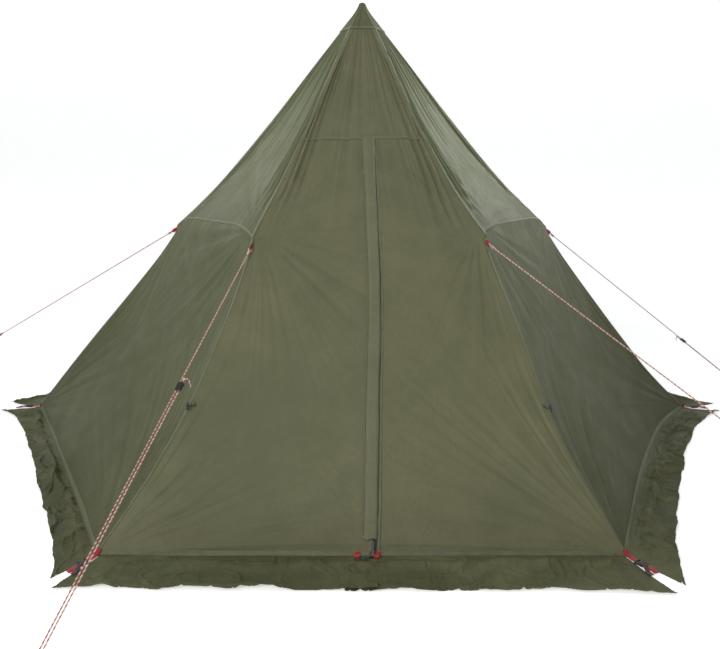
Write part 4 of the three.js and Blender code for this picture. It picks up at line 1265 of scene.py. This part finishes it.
# ------------------------------------------------------------------ stage, light, camera
WORLD, FLOOR_GLOW = 0.33, 0.46
world = bpy.data.worlds.new("studio")
bpy.context.scene.world = world
world.use_nodes = True
bg = world.node_tree.nodes["Background"]
bg.inputs[0].default_value = (0.97, 0.985, 1.0, 1)
bg.inputs[1].default_value = WORLD
view = bpy.context.scene.view_settings
view.view_transform = "Standard"
view.look = "None"
view.exposure = 0.0
view.gamma = 1.0

# a pale floor that runs up into a white backdrop
rows = [(-14 + 2.0 * i, -0.0005) for i in range(18)]
rows += [(20 + 9 * math.sin(t), 9 - 9 * math.cos(t)) for t in np.linspace(0.05, math.pi / 2, 18)]
rows += [(29, 9 + 3 * i) for i in range(1, 9)]
P = np.array([[(x, y, z) for x in np.linspace(-34, 34, 18)] for y, z in rows])
fm = Nodes("floor_pale")
fo = fm.coords("Object")
fz = fm.xyz(fo)
dist = fm.math("SQRT", fm.math("ADD", fm.math("MULTIPLY", fz[0], fz[0]), fm.math("MULTIPLY", fz[1], fz[1])))
fcol = fm.mix(fm.ramp(fm.noise(fo, 2.0, 4), 0.3, 0.7), (0.86, 0.865, 0.87, 1), (0.90, 0.90, 0.90, 1))
fp = fm.t.nodes.new("ShaderNodeBsdfPrincipled")
fm.put(fp, "Base Color", fcol)
fm.put(fp, "Roughness", 0.85)
fm.put(fp, "Specular IOR Level", 0.15)
fm.put(fp, "Normal", fm.bump(fm.math("MULTIPLY", fm.noise(fo, 160.0, 3), 0.0004)))
fm.put(fp, "Emission Color", (1, 1, 1, 1))
fm.put(fp, "Emission Strength", fm.ramp(dist, 2.6, 6.5, FLOOR_GLOW, 0.55))
fm.t.links.new(fp.outputs[0], fm.out.inputs[0])
floor = grid("floor", P, fm.mat)


def area(name, loc, target, size, power, color=(1, 1, 1), spread=180):
    d = bpy.data.lights.new(name, "AREA")
    d.spread = math.radians(spread)
    d.shape = "RECTANGLE"
    d.size, d.size_y = size
    d.energy = power
    d.color = color
    o = bpy.data.objects.new(name, d)
    bpy.context.scene.collection.objects.link(o)
    o.location = loc
    o.rotation_mode = "QUATERNION"
    o.rotation_quaternion = (Vector(target) - Vector(loc)).to_track_quat("-Z", "Y")
    return o


area("key", (-3.3, -7.1, 4.2), (0, -1, 0.9), (4.5, 3.5), 368, (1.0, 0.985, 0.95))
area("top", (0.0, 0.5, 7.5), (0, 0, 0.8), (6, 6), 90, (0.98, 1.0, 0.98))
area("side_left", (-3.6, 1.2, 3.7), (-0.45, -0.1, 1.95), (1.2, 1.2), 8, (0.98, 1.0, 0.95), 50)
area("side_right", (3.6, 1.2, 3.7), (0.50, -0.1, 1.95), (1.2, 1.2), 17, (0.98, 1.0, 0.96), 50)

cam_data = bpy.data.cameras.new("camera")
cam = bpy.data.objects.new("camera", cam_data)
bpy.context.scene.collection.objects.link(cam)
cam_data.sensor_width = 36.0
cam_data.lens = 34.577
cam_data.clip_end = 200
pitch, yaw, roll = math.radians(-12.045), math.radians(-0.098), math.radians(0.04)
fwd = V3(math.sin(yaw) * math.cos(pitch), math.cos(yaw) * math.cos(pitch), math.sin(pitch))
right = V3(math.cos(yaw), -math.sin(yaw), 0)
upv = np.cross(right, fwd)
r2 = math.cos(roll) * right + math.sin(roll) * upv
u2 = -math.sin(roll) * right + math.cos(roll) * upv
cam.matrix_world = basis(V3(-0.0041, -4.087, 1.3984), r2, u2, -fwd)
bpy.context.scene.camera = cam
